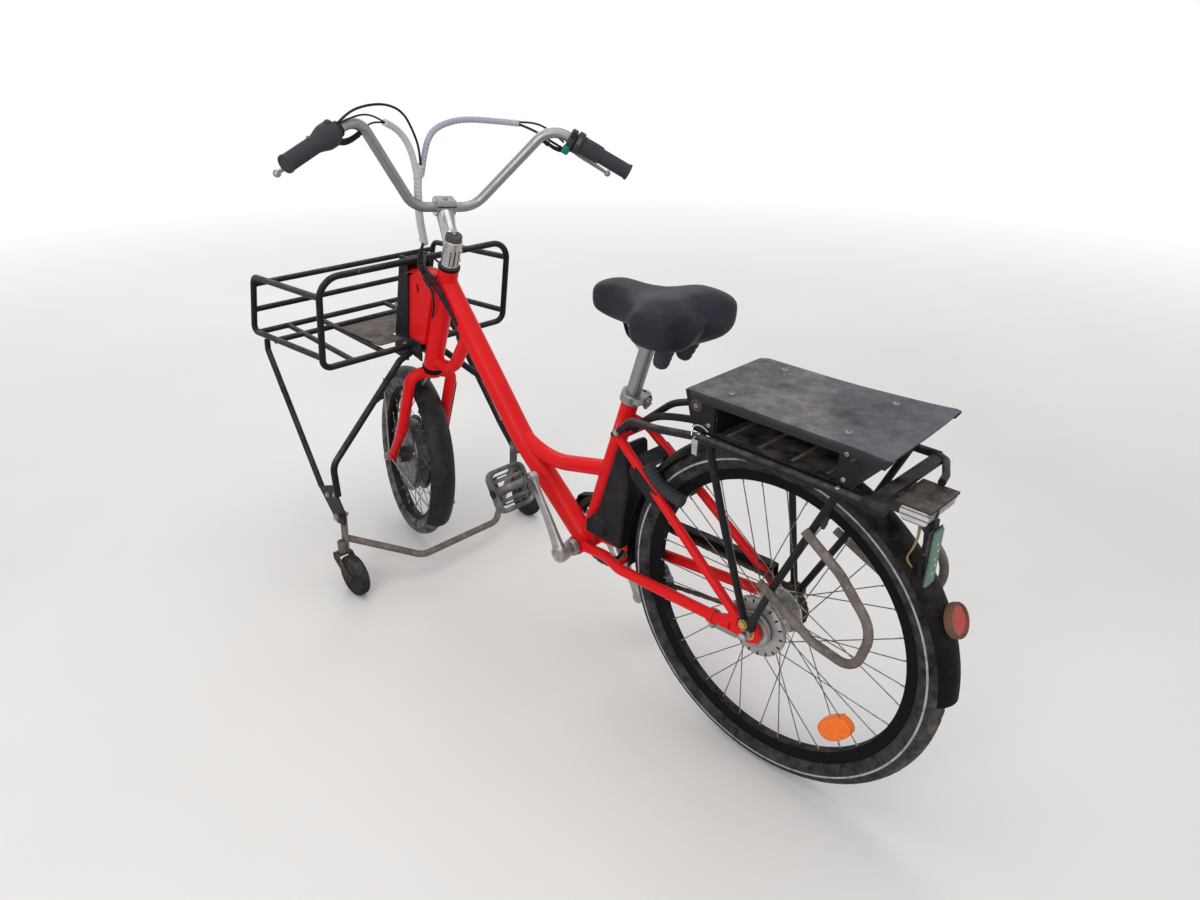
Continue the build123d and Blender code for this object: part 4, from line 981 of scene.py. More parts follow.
def cord(name: str, route: Sequence[Point], spacing: float, radius: float, finish: str,
        sides: int) -> bpy.types.Object:
    """Draws a round cord along the smooth line of a route.

    Args:
        name: Name of the piece.
        route: Control points.
        spacing: Distance between the rings of the cord.
        radius: Radius of the cord.
        finish: Name of the material.
        sides: Steps round the cord.

    Returns:
        The cord.
    """
    return swept(name, evenly(line_of(route), spacing), finish, lambda _along, _angle: radius, sides)


def slab(name: str, outline: Sequence[tuple[float, float]], origin: Vector, across: Vector, up: Vector,
        thick: float, finish: str, bevel: float = 0.0006) -> bpy.types.Object:
    """Makes a flat plate with eased edges from its outline.

    Args:
        name: Name of the piece.
        outline: Corners as distances along across and up.
        origin: Where the outline starts from.
        across: First direction of the plate.
        up: Second direction of the plate.
        thick: Thickness, along across x up.
        finish: Name of the material.
        bevel: Size of the eased edges.

    Returns:
        The plate.
    """
    way = across.cross(up).normalized()
    middle = (sum(u for u, _ in outline) / len(outline), sum(v for _, v in outline) / len(outline))
    rings = []
    for depth, inset in ((0.0, bevel), (bevel, 0.0), (thick - bevel, 0.0), (thick, bevel)):
        ring = []
        for u, v in outline:
            away = math.hypot(u - middle[0], v - middle[1]) or 1.0
            pull = max(0.0, 1 - inset / away)
            ring.append(origin + across * (middle[0] + (u - middle[0]) * pull) + up
                * (middle[1] + (v - middle[1]) * pull) + way * depth)
        rings.append(ring)
    return shaded(loft(name, rings, finish), 30)


class Fitting(Enum):
    """Fasteners that the bicycle is held together with."""

    HEX = "hex"
    NUT = "nut"
    ACORN = "acorn"
    PAN = "pan"

    def shape(self, finish: str) -> bpy.types.Object:
        """Returns the fastener round the origin, its head along Z, for a size of 1."""
        parts = []
        if self is Fitting.PAN:
            profile = [(0, -0.1), (1.0, -0.1), (1.0, 0.25), (0.85, 0.5), (0.5, 0.6), (0.42, 0.6), (0.40, 0.3),
                (0, 0.3)]
            parts.append(lathe("head", profile, Vector(), SKY, finish, 16))
        else:
            washer = [(0, -0.1), (1.45, -0.1), (1.5, 0.0), (1.45, 0.12), (0, 0.12)]
            parts.append(lathe("washer", washer, Vector(), SKY, finish, 18))
            head = [(0, 0.1), (1.1, 0.1), (1.15, 0.2), (1.15, 0.75), (1.0, 0.88), (0, 0.88)]
            parts.append(lathe("head", head, Vector(), SKY, finish, 6))
            if self is Fitting.NUT:
                thread = [(0, 0.8), (0.6, 0.8), (0.6, 1.3), (0.5, 1.4), (0, 1.4)]
                parts.append(lathe("thread", thread, Vector(), SKY, finish, 12))
            if self is Fitting.ACORN:
                dome = [(0, 0.8), (0.95, 0.8), (0.9, 1.2), (0.7, 1.55), (0.35, 1.75), (0, 1.8)]
                parts.append(lathe("dome", dome, Vector(), SKY, finish, 16))
        return join("fastener", parts)


@dataclass
class Fasteners:
    """All fasteners of one body, each kind repeated by Geometry Nodes."""

    name: str
    body: Body
    slot: str = "grey_metal"

    def __post_init__(self) -> None:
        """Starts with no fastener."""
        self.kinds: dict[tuple[Fitting, float, str], list[tuple[Vector, Matrix]]] = {}

    def put(self, kind: Fitting, size: float, finish: str, places: Sequence[Point], way: Point) -> None:
        """Adds fasteners.

        Args:
            kind: Kind of fastener.
            size: Half width across, in metres.
            finish: Name of the material.
            places: Where each stands.
            way: Direction that the heads look.
        """
        turn = frame_of(Vector(way))
        spots = self.kinds.setdefault((kind, size, finish), [])
        spots.extend((Vector(place), turn) for place in places)

    def build(self) -> bpy.types.Object:
        """Returns the one piece with all fasteners."""
        made = []
        for index, ((kind, size, finish), spots) in enumerate(self.kinds.items()):
            made.append(Repeat(kind.shape(finish), finish).at(f"{self.name}_{index}", spots, size))
        return seat(shaded(join(self.name, made), 32), self.body)


@dataclass(frozen=True)
class WeldSeam:
    """Bead where one round tube meets another."""

    point: Vector
    way: Vector
    radius: float
    other_point: Vector
    other_way: Vector
    other_radius: float

    def spots(self, spacing: float) -> list[tuple[Vector, Matrix]]:
        """Returns evenly spread places along the seam, each with its turn."""
        way, other = self.way.normalized(), self.other_way.normalized()
        across = way.orthogonal().normalized()
        up = way.cross(across)
        loop = []
        for angle in around(72):
            start = self.point + (across * math.cos(angle) + up * math.sin(angle)) * self.radius
            gap = start - self.other_point
            flat_gap = gap - other * gap.dot(other)
            flat_way = way - other * way.dot(other)
            a = flat_way.length_squared
            b = 2 * flat_way.dot(flat_gap)
            c = flat_gap.length_squared - self.other_radius**2
            root = b * b - 4 * a * c
            if a < 1e-9 or root < 0:
                continue
            near = (-b - math.sqrt(root)) / (2 * a)
            loop.append(start + way * near)
        places = []
        for place in evenly(loop + loop[:1], spacing)[:-1]:
            gap = place - self.other_point
            places.append((place, frame_of(gap - other * gap.dot(other))))
        return places


# Sub-assemblies


@dataclass
class Tyre:
    """Tyre with a real tread, which replaces the plain CAD one."""

    name: str
    node: str
    body: Body
    centre: Vector
    axis: Vector
    outer: float
    section: float
    seat_radius: float
    rim_half: float
    finish: str
    blocks: int
    groove: float = 0.0011

    def build(self) -> bpy.types.Object:
        """Returns the tyre, seated on its wheel."""
        middle = self.outer - self.section
        profile: list[tuple[float, float]] = []
        steps = 40
        open_angle = math.asin(min(0.98, (self.rim_half + 0.0004) / self.section))
        for step in range(steps + 1):
            angle = -math.pi + open_angle + (2 * math.pi - 2 * open_angle) * step / steps
            profile.append((middle + self.section * math.cos(angle), self.section * math.sin(angle)))
        inner_r = self.seat_radius + 0.0004
        lowest = max(inner_r, profile[0][0])
        profile.append((lowest, self.rim_half * 0.5))
        profile.append((lowest, -self.rim_half * 0.5))
        half = self.section

        def wave(angle: float, index: int) -> float:
            """Depth of the tread pattern at one point of the profile."""
            if index > steps:
                return 0.0
            across = profile[index][1] / half
            if profile[index][0] < middle + 0.35 * half:
                return 0.0
            phase = (angle * self.blocks / (2 * math.pi) + abs(across) * 1.6) % 1.0
            cut = phase < 0.28 and 0.16 < abs(across) < 0.82
            ring = 0.06 < abs(across) < 0.14
            return -self.groove if cut or ring else 0.0

        piece = turned_ring(self.name, profile, self.centre, self.axis, self.finish, self.blocks * 6, wave)
        shaded(piece, 50)
        return seat(piece, self.body, [self.node])


@dataclass
class Saddle:
    """Padded saddle, a lofted cushion that is then blown up a little."""

    tail_x: float = 0.180
    nose_x: float = 0.441
    stations: tuple[tuple[float, float, float, float, float], ...] = (
        # share along, half width, crown height, side height, underside height
        (0.00, 0.072, 0.846, 0.832, 0.798),
        (0.03, 0.096, 0.858, 0.834, 0.786),
        (0.12, 0.108, 0.866, 0.834, 0.781),
        (0.25, 0.110, 0.868, 0.832, 0.780),
        (0.34, 0.107, 0.865, 0.830, 0.780),
        (0.39, 0.094, 0.862, 0.829, 0.782),
        (0.45, 0.070, 0.860, 0.829, 0.786),
        (0.56, 0.050, 0.857, 0.829, 0.791),
        (0.70, 0.042, 0.859, 0.831, 0.795),
        (0.84, 0.039, 0.861, 0.832, 0.797),
        (0.93, 0.036, 0.858, 0.832, 0.799),
        (0.98, 0.028, 0.851, 0.831, 0.805),
        (1.00, 0.014, 0.842, 0.829, 0.815),
    )
    cap: float = 0.004
    lowest: float = 0.778

    def shell(self) -> bpy.types.Object:
        """Returns the closed lofted form."""
        count = 24
        points: list[Vector] = []
        for share, half, crown, rim, under in self.stations:
            x = self.tail_x + (self.nose_x - self.tail_x) * share
            dip = 0.006 * max(0.0, 1 - abs(share - 0.25) / 0.35)
            for angle in around(count):
                c, s = math.cos(angle), math.sin(angle)
                y = half * math.copysign(abs(c) ** 0.65, c)
                notch = 0.022 * max(0.0, 1 - share / 0.16) * max(0.0, 1 - abs(y) / 0.045)
                if s >= 0:
                    z = rim + (crown - rim) * s**0.75
                    z -= dip * max(0.0, 1 - (abs(y) / max(half, 1e-4)) * 2.2)
                else:
                    z = rim + (under - rim) * (-s) ** 0.5
                    y *= 1 - 0.06 * (-s) ** 2
                points.append(Vector((x + notch, y, z)))
        faces: list[tuple[int, ...]] = []
        rows = len(self.stations)
        for row in range(rows - 1):
            for step in range(count):
                ahead = (step + 1) % count
                faces.append((row * count + step, row * count + ahead, (row + 1) * count + ahead,
                    (row + 1) * count + step))
        faces.append(tuple(range(count)))
        faces.append(tuple(range((rows - 1) * count, rows * count)))
        return outward(mesh_piece("saddle_pad", points, faces, "saddle_cover"))

    def inflate(self, pad: bpy.types.Object) -> bpy.types.Object:
        """Remeshes the pad and swells it with Cloth, no point by more than the cap."""
        remesh = pad.modifiers.new("even", "REMESH")
        remesh.mode = "VOXEL"
        remesh.voxel_size = 0.005
        pad = baked(pad)
        pad.data.polygons.foreach_set("use_smooth", [True] * len(pad.data.polygons))
        rest = [v.co.copy() for v in pad.data.vertices]
        scene = bpy.context.scene
        cloth = pad.modifiers.new("swell", "CLOTH")
        cloth.settings.use_pressure = True
        cloth.settings.uniform_pressure_force = 4.0
        cloth.settings.effector_weights.gravity = 0.0
        cloth.point_cache.frame_start = 1
        cloth.point_cache.frame_end = 16
        for frame in range(1, 17):
            scene.frame_set(frame)
        swollen = baked(pad)
        scene.frame_set(1)
        for vertex, start in zip(swollen.data.vertices, rest):
            move = vertex.co - start
            if move.length > self.cap:
                vertex.co = start + move.normalized() * self.cap
            vertex.co.z = max(vertex.co.z, self.lowest)
        return swollen

    def build(self) -> bpy.types.Object:
        """Returns the finished saddle."""
        pad = self.shell()
        smooth = pad.modifiers.new("round", "SUBSURF")
        smooth.levels = smooth.render_levels = 2
        pad = baked(pad)
        pad = self.inflate(pad)
        finer = pad.modifiers.new("fine", "SUBSURF")
        finer.levels = finer.render_levels = 1
        pad = baked(pad)
        pad.data.polygons.foreach_set("use_smooth", [True] * len(pad.data.polygons))
        seat(pad, Body.FRAME, ["saddle"])
        return pad


@dataclass
class Welds:
    """Beads at the joints of the welded tubes, repeated by Geometry Nodes."""

    name: str
    finish: str
    slot: str
    seams: Sequence[WeldSeam]
    bead: float = 0.0021

    def build(self) -> bpy.types.Object:
        """Returns the beads of all seams."""
        profile = [(0, -0.7), (0.7, -0.5), (1.0, 0.0), (0.75, 0.45), (0, 0.62)]
        bead = lathe("bead", profile, Vector(), SKY, self.finish, 8)
        spots = [spot for seam in self.seams for spot in seam.spots(self.bead * 0.9)]
        return seat(Repeat(bead, self.finish).at(self.name, spots, self.bead), Body.FRAME)


@dataclass
class DriveChain:
    """Roller chain round the chainring and the sprocket, with the teeth that carry it."""

    ring_radius: float = 0.0797
    sprocket_radius: float = 0.0417
    pitch: float = 0.0127

    def path(self) -> tuple[list[Vector], float]:
        """Returns the middle of every link in order, and the exact pitch."""
        front, rear = BRACKET.copy(), REAR_AXLE.copy()
        front.y = rear.y = CHAIN_Y
        line = rear - front
        lean = math.atan2(line.z, line.x)
        spread = math.acos((self.ring_radius - self.sprocket_radius) / line.length)
        loop = []
        turns = 80
        for step in range(turns + 1):
            angle = lean + spread + (2 * math.pi - 2 * spread) * step / turns
            loop.append(front + Vector((math.cos(angle), 0, math.sin(angle))) * self.ring_radius)
        for step in range(turns + 1):
            angle = lean - spread + 2 * spread * step / turns
            loop.append(rear + Vector((math.cos(angle), 0, math.sin(angle))) * self.sprocket_radius)
        length = sum((b - a).length for a, b in zip(loop, loop[1:] + loop[:1]))
        links = 2 * round(length / self.pitch / 2)
        return evenly(loop + loop[:1], length / links)[:-1], length / links

    def link(self, half: float, wide: float) -> bpy.types.Object:
        """Returns a pair of link plates round the origin, length along Z, width along Y."""
        plates = []
        for flank in (1, -1):
            outline = []
            for angle in around(12):
                end = half if math.cos(angle) > 0 else -half
                waist = 0.0040 if abs(math.cos(angle)) > 0.2 else 0.0032
                outline.append((end + waist * math.cos(angle), waist * math.sin(angle)))
            origin = Vector((0, flank * wide - 0.0005, 0))
            plates.append(slab("plate", outline, origin, SKY, NOSE, 0.001, "chain_steel", 0.0002))
        for end in (1, -1):
            pin = [(0, -wide), (0.0032, -wide), (0.0032, wide), (0, wide)]
            plates.append(lathe("pin", pin, Vector((0, 0, end * half)), LEFT, "chain_steel", 8))
        return join("link", plates)

    def build(self) -> None:
        """Builds the chain and the two toothed rings."""
        path, pitch = self.path()
        made = []
        for start, wide in ((0, 0.0021), (1, 0.0031)):
            spots = []
            for index in range(start, len(path), 2):
                here, after = path[index], path[(index + 1) % len(path)]
                way = (after - here).normalized()
                turn = Matrix((way.cross(LEFT) * -1, LEFT, way)).transposed()
                spots.append(((here + after) / 2, turn))
            made.append(Repeat(self.link(pitch / 2, wide), "chain_steel").at(f"links_{start}", spots))
        seat(shaded(join("roller_chain", made)), Body.FRAME, ["chain"])
        for name, body, centre, radius, bore in (
            ("chainring_teeth", Body.CRANKS, BRACKET, self.ring_radius, 0.070),
            ("sprocket_teeth", Body.REAR_WHEEL, REAR_AXLE, self.sprocket_radius, 0.036),
        ):
            teeth = round(2 * math.pi * radius / pitch)
            place = Vector((centre.x, CHAIN_Y, centre.z))
            profile = [(bore, -0.0018), (radius - 0.0042, -0.0018), (radius - 0.001, -0.0011),
                (radius - 0.001, 0.0011), (radius - 0.0042, 0.0018), (bore, 0.0018)]

            def wave(angle: float, index: int) -> float:
                """Height of a tooth at an angle."""
                if index not in (2, 3):
                    return 0.0
                return 0.0022 * math.cos(angle * teeth)

            ring = turned_ring(name, profile, place, LEFT, "chain_steel", teeth * 6, wave)
            seat(shaded(ring, 40), body)


@dataclass
class Spoking:
    """Spoke nipples, valve and hub bolts of one wheel."""

    name: str
    body: Body
    centre: Vector
    axis: Vector
    rim_inner: float
    count: int = 36
    hub_bolts: tuple[float, float] | None = None

    def build(self) -> None:
        """Builds the small parts of the wheel."""
        away = TURN @ NOSE if self.body is Body.FRONT_WHEEL else NOSE
        up = away.cross(self.axis) * -1
        up = up if up.z > 0 else -up
        nipple = mm(0, 0, 1.35, 0, 1.75, 0.8, 1.75, 4.5, 1.35, 5.5, 1.3, 11.5, 0, 12)
        shape = lathe("nipple", nipple, Vector(), SKY, "zinc_steel", 8)
        spots = []
        for index, angle in enumerate(around(self.count)):
            flank = 1 if index % 2 == 0 else -1
            way = away * math.cos(angle) + up * math.sin(angle)
            place = self.centre + way * (self.rim_inner + 0.0012) + self.axis * (flank * 0.0025)
            spots.append((place, frame_of(-way + self.axis * (flank * 0.09))))
        nipples = Repeat(shape, "zinc_steel").at(self.name + "_nipples", spots)
        way = away * math.cos(1.91) + up * math.sin(1.91)
        valve = mm(0, -1, 3, -1, 3, 17, 3.6, 18, 4.2, 19, 4.2, 31, 3.2, 33, 0, 33)
        stem = lathe("valve", valve, self.centre + way * self.rim_inner, -way, "grip_rubber", 12)
        seat(shaded(join(self.name + "_nipples_and_valve", [nipples, stem])), self.body)
        if self.hub_bolts:
            radius, half = self.hub_bolts
            bolts = Fasteners(self.name + "_hub_screws", self.body)
            for flank in (1, -1):
                places = []
                for angle in around(8, 0.5):
                    places.append(self.centre + (away * math.cos(angle) + up * math.sin(angle)) * radius
                        + self.axis * (flank * half))
                bolts.put(Fitting.PAN, 0.0045, "zinc_steel", places, self.axis * flank)
            bolts.build()


@dataclass
class SpokeReflector:
    """Orange oval reflector clipped to the spokes of the rear wheel."""

    centre: Vector = Vector((-0.1560, 0.0075, 0.1700))
    half_length: float = 0.037
    half_width: float = 0.022

    def build(self) -> None:
        """Builds the lens in its clip."""
        out = self.centre - REAR_AXLE
        out.y = 0.0
        out.normalize()
        along = out.cross(LEFT)
        rings = []
        for depth, share in ((-0.011, 0.9), (-0.010, 1.0), (0.0, 1.0), (0.0035, 0.97), (0.0048, 0.90)):
            rings.append(oval(self.centre + LEFT * depth, along, out, self.half_length * share,
                self.half_width * share, 0.82, 40))
        lens = shaded(loft("lens", rings, "orange_lens"), 40)
        clips = []
        for end in (-0.6, 0.6):
            place = self.centre + along * (self.half_length * end) - LEFT * 0.0135
            outline = mm(-5, -17, 5, -17, 5, 17, -5, 17)
            clips.append(slab("clip", outline, place, along, out, 0.003, "black_plastic"))
        seat(join("spoke_reflector", [lens, *clips]), Body.REAR_WHEEL)


@dataclass
class Pedal:
    """Open cage pedal with a rounded rim, a barrel and rows of studs."""

    hand: str
    body: Body
    flank: int
    half: float = 0.0415
    corner: float = 0.015
    tilt: float = math.radians(-60)
    lateral: float = 0.137

    def loop(self, half_x: float, half_y: float, corner: float) -> list[Vector]:
        """Returns a rounded rectangle in the pedal's own plane."""
        points = []
        for cx, cy, start in ((1, 1, 0), (-1, 1, 90), (-1, -1, 180), (1, -1, 270)):
            for step in range(7):
                angle = math.radians(start + 15 * step)
                points.append(Vector((cx * (half_x - corner) + corner * math.cos(angle),
                    cy * (half_y - corner) + corner * math.sin(angle), 0)))
        return points

    def rim(self, half_x: float, half_y: float, corner: float, wide: float, deep: float,
            square: float) -> bpy.types.Object:
        """Returns a closed rim with a boxy section."""
        path = evenly(self.loop(half_x, half_y, corner) + self.loop(half_x, half_y, corner)[:1], 0.004)[:-1]
        rings = []
        for index, centre in enumerate(path):
            way = (path[(index + 1) % len(path)] - path[index - 1]).normalized()
            side = way.cross(SKY)
            rings.append(oval(centre, side, SKY, wide, deep, square, 14))
        return loft("rim", rings, "worn_pedal", True)

    def build(self) -> None:
        """Builds the pedal and hands it to its body."""
        parts = [
            self.rim(self.half, self.half, self.corner, 0.0045, 0.0112, 0.6),
            self.rim(self.half - 0.0115, self.half - 0.010, 0.009, 0.0014, 0.0095, 0.8),
        ]
        barrel = mm(0, -41, 12.5, -41, 12.5, -32, 9.8, -28, 9.2, 0, 9.8, 28, 12.5, 32, 12.5, 41, 0, 41)
        parts.append(lathe("barrel", barrel, Vector(), LEFT, "worn_pedal", 24))
        for x in (-0.0215, 0.0215):
            outline = mm(-40, -3.5, 40, -3.5, 40, 3.5, -40, 3.5)
            parts.append(slab("rib", outline, Vector((x, 0, -0.008)), LEFT, Vector((-1, 0, 0)), 0.016,
                "worn_pedal", 0.0012))
        axle_y = 0.047 * -self.flank
        stub = mm(0, 0, 10.5, 0, 10.5, 4, 7.5, 5, 7, 11.5, 0, 12)
        parts.append(lathe("stub", stub, Vector((0, axle_y + self.flank * 0.002, 0)),
            Vector((0, -self.flank, 0)), "zinc_steel", 16))
        cap = mm(0, 0, 10.5, 0, 10.5, 1.2, 6, 2.4, 0, 2.6)
        parts.append(lathe("cap", cap, Vector((0, self.flank * 0.0445, 0)), Vector((0, self.flank, 0)),
            "black_plastic", 20))
        stud = lathe("stud", [(0, -0.2), (1.0, -0.2), (0.9, 0.5), (0.5, 1.0), (0, 1.05)], Vector(), SKY,
            "worn_pedal", 6)
        spots = []
        for x in (-self.half, self.half):
            for index in range(9):
                for z in (1, -1):
                    place = Vector((x, -0.028 + 0.007 * index, z * 0.0108))
                    spots.append((place, frame_of(Vector((0, 0, z)))))
        parts.append(Repeat(stud, "worn_pedal").at("studs", spots, 0.0022))
        piece = join(f"cage_pedal_{self.hand}", [shaded(part, 40) for part in parts])
        way = Vector((math.cos(CRANK_ANGLE), 0, math.sin(CRANK_ANGLE)))
        place = BRACKET + way * (CRANK_LENGTH * self.flank)
        place.y = self.flank * self.lateral
        piece.data.transform(Matrix.Translation(place) @ Matrix.Rotation(self.tilt, 4, "Y"))
        seat(piece, self.body, [f"pedal_{self.hand}"])


@dataclass
class Cranks:
    """Forged crank arms with the spindle, spider and chainring."""

    arm_y: float = 0.078
    stations: tuple[tuple[float, float, float, float], ...] = (
        # share of the arm, half width, half thickness, inward set
        (-0.115, 0.004, 0.0050, 0.0),
        (-0.100, 0.0105, 0.0075, 0.0),
        (-0.060, 0.0160, 0.0092, 0.0),
        (0.00, 0.0185, 0.0098, 0.0),
        (0.08, 0.0165, 0.0085, 0.0),
        (0.18, 0.0135, 0.0068, 0.001),
        (0.40, 0.0118, 0.0060, 0.002),
        (0.65, 0.0108, 0.0056, 0.001),
        (0.85, 0.0108, 0.0060, 0.0),
        (0.95, 0.0128, 0.0072, 0.0),
        (1.00, 0.0136, 0.0076, 0.0),
        (1.05, 0.0110, 0.0072, 0.0),
        (1.075, 0.0050, 0.0055, 0.0),
    )

    def arm(self, flank: int) -> list[bpy.types.Object]:
        """Returns one arm with its bosses."""
        way = Vector((math.cos(CRANK_ANGLE), 0, math.sin(CRANK_ANGLE))) * flank
        side = Vector((-way.z, 0, way.x))
        out = Vector((0, flank, 0))
        root = BRACKET + out * self.arm_y
        rings = []
        for share, wide, thick, inset in self.stations:
            centre = root + way * (CRANK_LENGTH * share) - out * inset
            rings.append(oval(centre, side, out, wide, thick, 0.62, 24))
        arm = loft("arm", rings, "forged_alloy")
        smooth = arm.modifiers.new("round", "SUBSURF")
        smooth.levels = smooth.render_levels = 1
        boss = mm(0, -16, 14, -16, 17.8, -13, 18.6, -6, 18.6, 8.5, 17.2, 10.8, 11.8, 11.2, 10.8, 10, 10.4, 5,
            0, 5)
        eye = mm(0, -8.5, 11.8, -8.5, 12.8, -7, 12.8, 7, 11.8, 8.5, 6.5, 8.5, 6, 6, 0, 6)
        parts = [baked(arm), lathe("boss", boss, root, out, "forged_alloy", 32),
            lathe("eye", eye, root + way * CRANK_LENGTH, out, "forged_alloy", 24)]
        bolt = mm(0, 4, 9.8, 4, 9.8, 6.6, 4.8, 7.4, 4, 5.8, 0, 5.8)
        parts.append(lathe("bolt", bolt, root, out, "dusty_black", 20))
        axle = mm(0, 6, 5.2, 6, 5.2, 14, 8.8, 14.5, 8.8, 19, 5.5, 20, 5, 60, 0, 60)
        parts.append(lathe("axle", axle, root + way * CRANK_LENGTH - out * 0.004, out, "zinc_steel", 16))
        return parts

    def ring(self) -> list[bpy.types.Object]:
        """Returns the chainring with its spider and the spindle."""
        out = Vector((0, -1, 0))
        place = Vector((BRACKET.x, CHAIN_Y, BRACKET.z))
        profile = mm(62, -1.5, 77.5, -1.5, 77.5, 1.5, 62, 1.5)
        parts = [turned_ring("ring", profile, place, out, "dusty_black", 90)]
        for index in range(5):
            angle = CRANK_ANGLE + math.pi + 2 * math.pi * index / 5
            way = Vector((math.cos(angle), 0, math.sin(angle)))
            side = Vector((-way.z, 0, way.x))
            rings = []
            for share, wide, thick in ((0.012, 0.013, 0.0045), (0.030, 0.0085, 0.0038),
                    (0.050, 0.0068, 0.0030), (0.064, 0.0072, 0.0028), (0.070, 0.0045, 0.0022)):
                rings.append(oval(place + way * share + out * 0.0046, side, out, wide, thick, 0.7, 16))
            parts.append(loft("spider", rings, "forged_alloy"))
        spindle = mm(0, 0, 9.8, 0, 9.8, 24, 17, 26, 19, 31, 19, 38, 9.8, 40, 9.8, 116, 19, 118, 19, 125,
            17, 130, 9.8, 132, 9.8, 150, 0, 150)
        parts.append(lathe("spindle", spindle, Vector((BRACKET.x, -0.078, BRACKET.z)), LEFT, "zinc_steel",
            28))
        return parts

    def build(self) -> None:
        """Builds the crankset."""
        parts = [*self.arm(1), *self.arm(-1), *self.ring()]
        hand_in("forged_crankset", parts, 38, Body.CRANKS, ["crankset"])


BAR_CLAMP = HEAD_BOTTOM + UP * 0.380 + AHEAD * 0.075


def grip_point(flank: int, share: float) -> Vector:
    """Returns a point on the bar's last straight run, 0 at its bend and 1 at its end."""
    bend = BAR_CLAMP + Vector((-0.079, flank * 0.210, 0.182))
    end = BAR_CLAMP + Vector((-0.163, flank * 0.365, 0.100))
    return steered(bend + (end - bend) * share)


